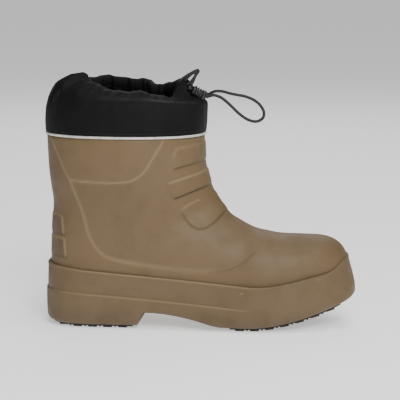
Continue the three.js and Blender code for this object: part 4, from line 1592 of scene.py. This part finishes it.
@dataclass(frozen=True)
class Foam(Finish):
    """Moulded EVA foam: matt with a soft shine, a fine moulding grain, and a painted highlight at its raised
    edges.
    """

    pale: str = "#746044"
    deep: str = "#4D3E2A"
    # painted highlight on the raised edges, and the tone of small pale specks
    highlight_and_specks: str = "#96815F"
    # painted shade in the cuts and under raised edges
    cut: str = "#30240F"
    # painted shade towards the ground
    ground_shade: str = "#352C20"
    rubbed: str = "#B39C78"
    # small rubbed marks: place from the boot's middle and half sizes, in millimetres
    scuffs: tuple[tuple[float, ...], ...] = (
        (46.0, -50.0, 39.5, 1.8, 12.0, 0.8),
        (121.0, -42.0, 52.0, 3.0, 12.0, 0.5),
    )
    ground_shade_top: float = 26.0  # height in millimetres up to which painted shade darkens the foam towards the ground
    dots: float = 2.5  # pitch of the quarter's diagonal texture, drawn a little coarser so that it shows

    def _scuff(self, tree: Tree, place: Socket, grain: Socket, mark: tuple[float, ...]) -> Socket:
        """Gives one rubbed mark, strongest in its middle and broken by the grain.

        Args:
            tree: The material's tree.
            place: The object's own coordinates.
            grain: The foam's grain.
            mark: The mark's place and half sizes.

        Returns:
            The mark's strength.
        """
        middle, shares = [v * MM for v in mark[:3]], [1 / (v * MM) for v in mark[3:]]
        away = node(tree, "ShaderNodeVectorMath", {0: place, 1: middle}, operation="SUBTRACT")
        scaled = node(tree, "ShaderNodeVectorMath", {0: away.outputs[0], 1: shares}, operation="MULTIPLY")
        reach = node(tree, "ShaderNodeVectorMath", {0: scaled.outputs[0]}, operation="LENGTH")
        inputs = {"Value": reach.outputs["Value"], "From Min": 0.4, "From Max": 1.0}
        inputs |= {"To Min": 0.6, "To Max": 0.0}
        fading = node(tree, "ShaderNodeMapRange", inputs, interpolation_type="SMOOTHSTEP")
        broken = node(tree, "ShaderNodeMath", {0: fading.outputs[0], 1: grain}, operation="MULTIPLY")
        return broken.outputs[0]

    def material(self) -> Material:
        """Builds the finish.

        Returns:
            The new material.
        """
        made, tree, shader = self.start()
        place = node(tree, "ShaderNodeTexCoord").outputs["Object"]
        across = node(tree, "ShaderNodeSeparateXYZ", {0: place}).outputs
        layer = {
            name: node(tree, "ShaderNodeAttribute", attribute_name=name).outputs["Fac"]
            for name in ("ridge_highlight", "painted_shade", "dots")
        }
        broad, patch = self.patches(tree, 70, 2.0, 0.3), self.patches(tree, 16, 3.0, 0.9)
        specks, grain = self.patches(tree, 2.2, 1.0, 0.5), self.patches(tree, 0.9, 3.0)
        colour = self.tint(tree, linear(self.colour), self.pale, broad, 0.22, (0.35, 0.65))
        colour = self.tint(tree, colour, self.deep, patch, 0.16, (0.45, 0.75))
        # painted highlight on the raised edges
        colour = self.tint(tree, colour, self.highlight_and_specks, layer["ridge_highlight"], 0.5)
        # painted shade in the cuts and under raised edges
        colour = self.tint(tree, colour, self.cut, layer["painted_shade"], 0.7)
        colour = self.tint(tree, colour, self.highlight_and_specks, specks, 0.2, (0.76, 0.82))
        for mark in self.scuffs:
            colour = self.tint(tree, colour, self.rubbed, self._scuff(tree, place, grain, mark))
        # painted shade, darker towards the ground and broken into patches
        inputs = {"Value": across[2], "From Min": 3 * MM, "From Max": self.ground_shade_top * MM}
        inputs |= {"To Min": 0.5, "To Max": 0.0}
        low = node(tree, "ShaderNodeMapRange", inputs, interpolation_type="SMOOTHSTEP")
        ground_shaded = node(tree, "ShaderNodeMath", {0: low.outputs[0], 1: patch}, operation="MULTIPLY")
        colour = self.tint(tree, colour, self.ground_shade, ground_shaded.outputs[0])
        lattice = self.crossing(tree, (across[0], across[2]), 2 * math.pi / (self.dots * MM * math.sqrt(2)))
        dots = node(tree, "ShaderNodeMath", {0: lattice, 1: layer["dots"]}, operation="MULTIPLY").outputs[0]
        colour = self.tint(tree, colour, self.deep, dots, 0.3, (0.1, 0.7))
        bumps = ((grain, 0.12, 0.35), (self.patches(tree, 9, 2.0, 1.7), 0.5, 0.12), (dots, 0.35, 0.45))
        self.finish(tree, shader, colour, bumps, (patch, -0.05, 0.07))
        return made


@dataclass(frozen=True)
class Cloth(Finish):
    """Woven nylon: a fine plain weave, matt, with a faint sheen on its folds."""

    pale: str = "#111013"
    lint: str = "#6E6A70"
    thread: float = 0.9  # thread spacing, drawn coarser than the real 0.3 mm so that it shows

    def material(self) -> Material:
        """Builds the finish on the piece's own UV map, whose unit is a millimetre.

        Returns:
            The new material.
        """
        made, tree, shader = self.start()
        broad, lint = self.patches(tree, 24, 3.0, 0.4), self.patches(tree, 1.1, 0.0, 0.8)
        colour = self.tint(tree, linear(self.colour), self.pale, broad, 0.5, (0.35, 0.7))
        colour = self.tint(tree, colour, self.lint, lint, 0.15, (0.82, 0.87))
        around, onward, _ = self.unrolled(tree)
        weave = self.crossing(tree, (around, onward), math.pi / self.thread)
        crumple = self.patches(tree, 15, 3.0, 1.1)
        self.finish(tree, shader, colour, ((crumple, 2.2, 0.5), (weave, 0.12, 0.5)))
        return made


@dataclass(frozen=True)
class Braid(Finish):
    """Braided elastic cord: two sets of crossing strands on the piece's own UV map, with painted shade in
    the hollows between them.
    """

    strands: float = 6.0
    slant: float = 2.0  # turns of the strands for each unit along the cord
    # painted shade in the hollows between the strands
    hollow_shade: str = "#1B1A1C"

    def material(self) -> Material:
        """Builds the finish.

        Returns:
            The new material.
        """
        made, tree, shader = self.start()
        around, onward, _ = self.unrolled(tree)
        around = node(tree, "ShaderNodeMath", {0: around, 1: self.strands}, operation="MULTIPLY").outputs[0]
        onward = node(tree, "ShaderNodeMath", {0: onward, 1: self.slant}, operation="MULTIPLY").outputs[0]
        both = [
            node(tree, "ShaderNodeMath", {0: around, 1: onward}, operation=kind).outputs[0]
            for kind in ("ADD", "SUBTRACT")
        ]
        plait = self.crossing(tree, tuple(both), 2 * math.pi)
        # the strands keep the cord's colour and the hollows between them get painted shade
        colour = self.tint(tree, linear(self.hollow_shade), self.colour, plait, 1.0, (-0.9, 0.6))
        self.finish(tree, shader, colour, ((plait, 0.1, 0.4),))
        return made


@dataclass(frozen=True)
class Fibres(Finish):
    """Needled felt or spun thread: fine matted fibres with no direction."""

    pale: str = "#5A5A5E"

    def material(self) -> Material:
        """Builds the finish.

        Returns:
            The new material.
        """
        made, tree, shader = self.start()
        fibre, broad = self.patches(tree, 1.1, 6.0), self.patches(tree, 12, 2.0, 0.6)
        colour = self.tint(tree, linear(self.colour), self.pale, fibre, 0.7, (0.35, 0.7))
        self.finish(tree, shader, colour, ((fibre, 0.6, 0.7), (broad, 0.8, 0.3)))
        return made


@dataclass(frozen=True)
class Tape(Finish):
    """Reflective piping tape: a pale, slightly ribbed film over a cord."""

    pale: str = "#D6D2CB"
    rib: float = 1.6  # from one rib to the next in millimetres

    def material(self) -> Material:
        """Builds the finish.

        Returns:
            The new material.
        """
        made, tree, shader = self.start()
        around = self.unrolled(tree)[0]
        phase = node(tree, "ShaderNodeMath", {0: around, 1: 2 * math.pi / self.rib}, operation="MULTIPLY")
        ribs = node(tree, "ShaderNodeMath", {0: phase.outputs[0]}, operation="SINE").outputs[0]
        patch = self.patches(tree, 8, 3.0, 0.2)
        colour = self.tint(tree, linear(self.colour), self.pale, patch, 1.0, (0.35, 0.65))
        self.finish(tree, shader, colour, ((ribs, 0.15, 0.5),), (patch, 0.0, 0.15))
        return made


@dataclass(frozen=True)
class Moulded(Finish):
    """Injection-moulded plastic or rubber: a fine texture, and dust in patches."""

    grain: float = 0.7
    depth: float = 0.08
    dust: str = "#5D5851"
    dusty: float = 0.1

    def material(self) -> Material:
        """Builds the finish.

        Returns:
            The new material.
        """
        made, tree, shader = self.start()
        fine, patch = self.patches(tree, self.grain, 3.0), self.patches(tree, 7, 3.0, 0.7)
        colour = self.tint(tree, linear(self.colour), self.dust, patch, self.dusty, (0.45, 0.75))
        self.finish(tree, shader, colour, ((fine, self.depth, 0.5),), (patch, -0.06, 0.1))
        return made


@dataclass(frozen=True)
class Paper(Finish):
    """The studio's plain floor of matt paper, a little lit from within so that it stays pale."""

    glow: float = 0.0

    def material(self) -> Material:
        """Builds the finish.

        Returns:
            The new material.
        """
        made, _, shader = self.start()
        shader.inputs["Emission Color"].default_value = linear("#FFFFFF")
        shader.inputs["Emission Strength"].default_value = self.glow
        return made


@dataclass
class CordLock:
    """The spring lock on the gaiter's shoulder: a ribbed body, an ear and a push button."""

    place: tuple[float, float, float]
    tilt: float = 0.55
    length: float = 14.0
    width: float = 13.0
    height: float = 10.0
    button: float = 4.5
    gap: float = 0.3
    ribs: int = 4
    # one rib and the groove behind it: share of the pitch, and how deep the skin lies there
    rib: Line = ((0.0, 0.0), (0.4, 0.0), (0.52, 1.1), (0.8, 1.2), (0.92, 0.1))
    # the ear seen from the side, from the shoulder's front, and its rounded edge: side and share
    ear_shape: Line = (
        (-4.0, 3.2), (-1.2, 3.4), (1.4, 2.6), (3.2, 0.8), (4.4, -1.0), (4.0, -2.4), (1.8, -4.4),
        (-0.4, -6.2), (-2.6, -5.6),
    )
    ear_edge: Line = (
        (-2.6, 0.7), (-2.6, 0.86), (-2.2, 0.96), (-1.5, 1.0), (1.5, 1.0), (2.2, 0.96), (2.6, 0.86),
        (2.6, 0.7),
    )

    def _bar(self, stations: list[tuple[float, float, float]], power: float, sides: int = 40) -> Array:
        """Gives rings of a bar in the lock's place on the boot.

        Args:
            stations: Place along the bar, half width and half height of each ring.
            power: How square the rings are.
            sides: How many points each ring has.

        Returns:
            The rings' points.
        """
        turn = 2 * math.pi * np.arange(sides) / sides
        cos, sin = np.cos(turn), np.sin(turn)
        reach = (np.abs(cos) ** power + np.abs(sin) ** power) ** (-1 / power)
        rings = [
            np.stack([np.full(sides, x), half_width * reach * cos, half_height * reach * sin], -1)
            for x, half_width, half_height in stations
        ]
        x, y, z = np.moveaxis(np.array(rings), -1, 0)
        c, s = math.cos(self.tilt), math.sin(self.tilt)
        return np.stack([c * x + s * z, y, -s * x + c * z], -1) + np.array(self.place)

    def body(self, material: Material) -> Object:
        """Builds the ribbed body.

        Args:
            material: The piece's finish.

        Returns:
            The new object at the origin.
        """
        half, w, h = self.length / 2, self.width / 2, self.height / 2
        stations = [
            (-half, w - 3.2, h - 2.8), (-half, w - 1.4, h - 1.4), (-half + 0.4, w - 0.6, h - 0.6),
            (-half + 1.2, w - 0.1, h - 0.1),
        ]
        pitch = (self.length - 4.0) / self.ribs
        for k in range(self.ribs):
            start = -half + 1.6 + k * pitch
            for step, sink in self.rib:
                stations.append((start + step * pitch, w - 0.1 - 0.5 * sink, h - 0.1 - sink))
        stations += [
            (half - 1.2, w - 0.1, h - 0.2), (half - 0.4, w - 0.6, h - 0.8), (half, w - 1.4, h - 1.6),
            (half, w - 3.2, h - 3.0), (half - 1.6, w - 3.6, h - 3.4), (half - 1.6, w - 4.6, h - 4.2),
        ]
        return Surface(self._bar(stations, 4.5), caps=(True, True)).object("lock_body", material)

    def ear(self, material: Material) -> Object:
        """Builds the ear at the body's front end, which the cord comes out of.

        Args:
            material: The piece's finish.

        Returns:
            The new object at the origin.
        """
        count = len(self.ear_shape)
        outline = spline(np.array(self.ear_shape), np.arange(0, count, 0.25), closed=True)
        middle = outline.mean(0)
        rings = []
        for side, share in self.ear_edge:
            flat = middle + (outline - middle) * share
            rings.append(np.stack([flat[:, 0], np.full(len(flat), side), flat[:, 1]], -1))
        rows = np.array(rings) + np.array((SHOULDER[0], self.place[1] + 0.4, SHOULDER[2]))
        return Surface(rows, caps=(True, True)).object("lock_ear", material)

    def plunger(self, material: Material) -> Object:
        """Builds the push button at the body's back end.

        Args:
            material: The piece's finish.

        Returns:
            The new object at the origin.
        """
        w, h = (self.width - 3.5) / 2, (self.height - 3.0) / 2
        start = -self.length / 2 - self.gap
        end = start - self.button
        stations = [
            (start, w - 0.6, h - 0.6), (start - 0.2, w - 0.3, h - 0.3), (end + 1.6, w - 0.3, h - 0.3),
            (end + 0.9, w, h), (end + 0.35, w - 0.1, h - 0.1), (end, w - 0.9, h - 0.9),
            (end + 0.25, w - 2.2, h - 2.0),
        ]
        return Surface(self._bar(stations, 2.6), caps=(True, True)).object("lock_plunger", material)


@dataclass
class Studio:
    """The camera at the photograph's angle, the pale floor and the soft lights."""

    azimuth: float = 6.0
    elevation: float = 8.5
    distance: float = 1.9
    target: tuple[float, float, float] = (-0.0002, 0.0, 0.124)
    lens: float = 171.0
    floor_half: float = 60.0
    glow: float = 0.55
    surroundings: float = 0.12
    # each soft light: name, place and width in metres, and power in watts
    lamps: tuple[tuple[str, tuple[float, float, float], float, float], ...] = (
        ("key", (0.55, -1.8, 1.3), 0.9, 43.5),
        ("rear", (-0.1, 1.7, 1.5), 1.6, 14.0),
        ("top", (0.45, -0.35, 1.9), 1.4, 20.0),
    )

    def camera(self) -> None:
        """Sets the camera."""
        azimuth, elevation = math.radians(self.azimuth), math.radians(self.elevation)
        level = math.cos(elevation)
        forward = Vector((-math.sin(azimuth) * level, math.cos(azimuth) * level, -math.sin(elevation)))
        lens = bpy.data.cameras.new("camera")
        lens.lens = self.lens
        lens.sensor_width = 36.0
        obj = bpy.data.objects.new("camera", lens)
        obj.location = Vector(self.target) - forward * self.distance
        obj.rotation_euler = forward.to_track_quat("-Z", "Y").to_euler()
        bpy.context.collection.objects.link(obj)
        bpy.context.scene.camera = obj

    def floor(self) -> None:
        """Lays the pale floor."""
        mesh = bpy.data.meshes.new("floor")
        far = self.floor_half
        corners = [(-far, -far, 0), (far, -far, 0), (far, far, 0), (-far, far, 0)]
        mesh.from_pydata(corners, [], [(0, 1, 2, 3)])
        mesh.materials.append(Paper("studio paper", "#F4F4F4", 0.9, glow=self.glow).material())
        obj = bpy.data.objects.new("floor", mesh)
        bpy.context.collection.objects.link(obj)

    def lights(self) -> None:
        """Hangs the soft lights and sets the pale surroundings."""
        world = bpy.data.worlds.new("studio")
        world.use_nodes = True
        background = world.node_tree.nodes["Background"]
        background.inputs["Color"].default_value = linear("#FFFFFF")
        background.inputs["Strength"].default_value = self.surroundings
        bpy.context.scene.world = world
        for name, place, size, power in self.lamps:
            lamp = bpy.data.lights.new(name, "AREA")
            lamp.size = size
            lamp.energy = power
            obj = bpy.data.objects.new(name, lamp)
            obj.location = place
            obj.rotation_euler = (Vector((0, 0, 0.1)) - Vector(place)).to_track_quat("-Z", "Y").to_euler()
            bpy.context.collection.objects.link(obj)


# Routes of the cords, in millimetres from the front of the gaiter's shoulder.
DRAWCORD = (
    (2.9, -3, -2.2), (6.2, -3.1, 0.2), (11.5, -3.4, 2.2), (18.5, -3.9, 2), (25.6, -4.4, 0.2),
    (33, -4.8, -1.2), (40.5, -5.1, -2.5), (49, -5.4, -5.8), (55.5, -5.6, -11), (59.3, -5.8, -17.8),
    (58.2, -6, -23.8),
    (52, -6.1, -27.2), (43.5, -6.2, -25.4), (34.5, -6.2, -19.3), (25.4, -6.2, -10.6), (17.5, -6.2, -4.2),
    (10.5, -6.2, -1.6), (5.2, -6.2, -2.5), (2.1, -6.2, -3.7),
)
KEEPER = (
    (-25, -3, 11.6), (-23, -2.9, 13.4), (-20.8, -2.8, 15.1), (-18.2, -2.7, 16.9), (-15.5, -2.6, 18.6),
    (-12.7, -2.5, 20.2), (-10, -2.4, 21.6), (-8, -2.3, 22.5), (-6.6, -2.3, 22.9), (-5.8, -2.3, 21.8),
    (-6.6, -2.3, 20.2), (-7.8, -2.3, 18.7), (-9.1, -2.35, 17), (-10.4, -2.4, 15.2), (-11.7, -2.5, 13.5),
    (-13.3, -2.6, 11.6), (-15.1, -2.7, 9.8), (-17, -2.8, 8.2),
)
# The flat tab inside the keeper's loop, which is part of the gaiter and no free cord.
TAB = (
    (-19.2, -2.6, 12.6), (-18, -2.6, 14), (-14.9, -2.6, 17.1), (-11.7, -2.6, 19.6), (-9.4, -2.5, 20.6),
    (-8.6, -2.5, 19.4), (-9, -2.5, 17.4), (-9.8, -2.5, 15), (-11, -2.6, 12.2), (-12, -2.8, 10),
    (-13, -3, 8.4),
)


def seat(obj: Object, slot: Slot, *nodes: str) -> None:
    """Lets a piece ride with the boot and hides the nodes it stands for.

    Args:
        obj: The piece.
        slot: The record's material slot; not used.
        nodes: The nodes it stands for.
    """
    if nodes:
        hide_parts(*nodes)
    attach(obj, "root")
    LOG.info("%s: %d faces", obj.name, len(obj.data.polygons))


def dress(name: str, material: Material) -> None:
    """Gives a carried-over node its finish.

    Args:
        name: The node's name.
        material: Its finish.
    """
    obj = bpy.data.objects[name]
    obj.data.materials.clear()
    obj.data.materials.append(material)
    LOG.info("%s: carried over", name)


def main() -> None:
    """Builds the studio and the boot's pieces in order."""
    logging.basicConfig(level=logging.INFO, format="%(name)s %(message)s")
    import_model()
    studio = Studio()
    studio.camera()
    braid = Braid("braided elastic cord", "#222024", 0.75).material()
    for cord, target in (
        (Cord("drawcord", DRAWCORD, 3.0), "drawcord_loop"),
        (Cord("keeper", KEEPER, 2.6), "keeper_loop"),
    ):
        cord.declare(cord.tube(braid), target)

    foam = Foam("moulded EVA foam", "#645138", 0.58, ior=1.4).material()
    # painted shade: the sole's foam is a darker copy of the upper's, for its walls that face away from the
    # light above
    shaded_tones = {"pale": "#6C5A42", "deep": "#473926", "highlight_and_specks": "#8C7858"}
    shaded_sole_foam = Foam("moulded EVA foam of the sole", "#614F38", 0.6, ior=1.4, **shaded_tones).material()
    felt = Fibres("needled felt", "#38383A", 0.95, sheen=0.2).material()
    last = Last()
    upper = Upper(last, Relief())
    seat(upper.shell(foam), Slot.FOAM, "upper")
    seat(upper.lining(felt), Slot.FELT)
    sole = CupSole(last, Outline(last))
    seat(sole.cup(shaded_sole_foam), Slot.FOAM, "sole")
    seat(sole.insole(felt), Slot.FELT, "insole")

    cloth = Cloth("woven nylon", "#080809", 0.72, ior=1.26, sheen=0.02, sheen_rough=0.35).material()
    gaiter = Gaiter(last)
    cover = gaiter.cover(cloth)
    seat(cover, Slot.CLOTH, "gaiter")
    thread = Fibres("spun polyester thread", "#0C0B0D", 0.8, pale="#131215").material()
    sewn = Repeats(thread)
    for name, line in gaiter.seam_lines.items():
        seat(sewn.stitches("stitches_" + name, line, pitch=3.4, length=2.5, thread=0.55), Slot.CLOTH)
    tape = Tape("reflective piping tape", "#BAB5AC", 0.45).material()
    seat(gaiter.piping(tape), Slot.TAPE, "piping")

    plastic = Moulded("moulded acetal plastic", "#0D0C0E", 0.42, dusty=0.05).material()
    lock = CordLock((SHOULDER[0] - 5.5, -4.5, SHOULDER[2] + 0.1))
    seat(lock.body(plastic), Slot.PLASTIC, "cord_lock_body")
    seat(lock.plunger(plastic), Slot.PLASTIC, "cord_lock_plunger")
    seat(lock.ear(plastic), Slot.PLASTIC)
    seat(Cord("keeper_tab", TAB, 2.7, flat=0.5).tube(braid), Slot.CORD)

    rubber = Moulded("moulded tread rubber", "#211C19", 0.75, grain=1.2, depth=0.3, dusty=0.35).material()
    for name in ("outsole_heel", "outsole_forefoot"):
        dress(name, rubber)
    treads = Repeats(rubber)
    seat(treads.studs("tread_studs", sole.stud_places(), radius=0.9, height=2.2), Slot.TREAD)
    studio.floor()
    studio.lights()


if __name__ == "__main__":
    main()
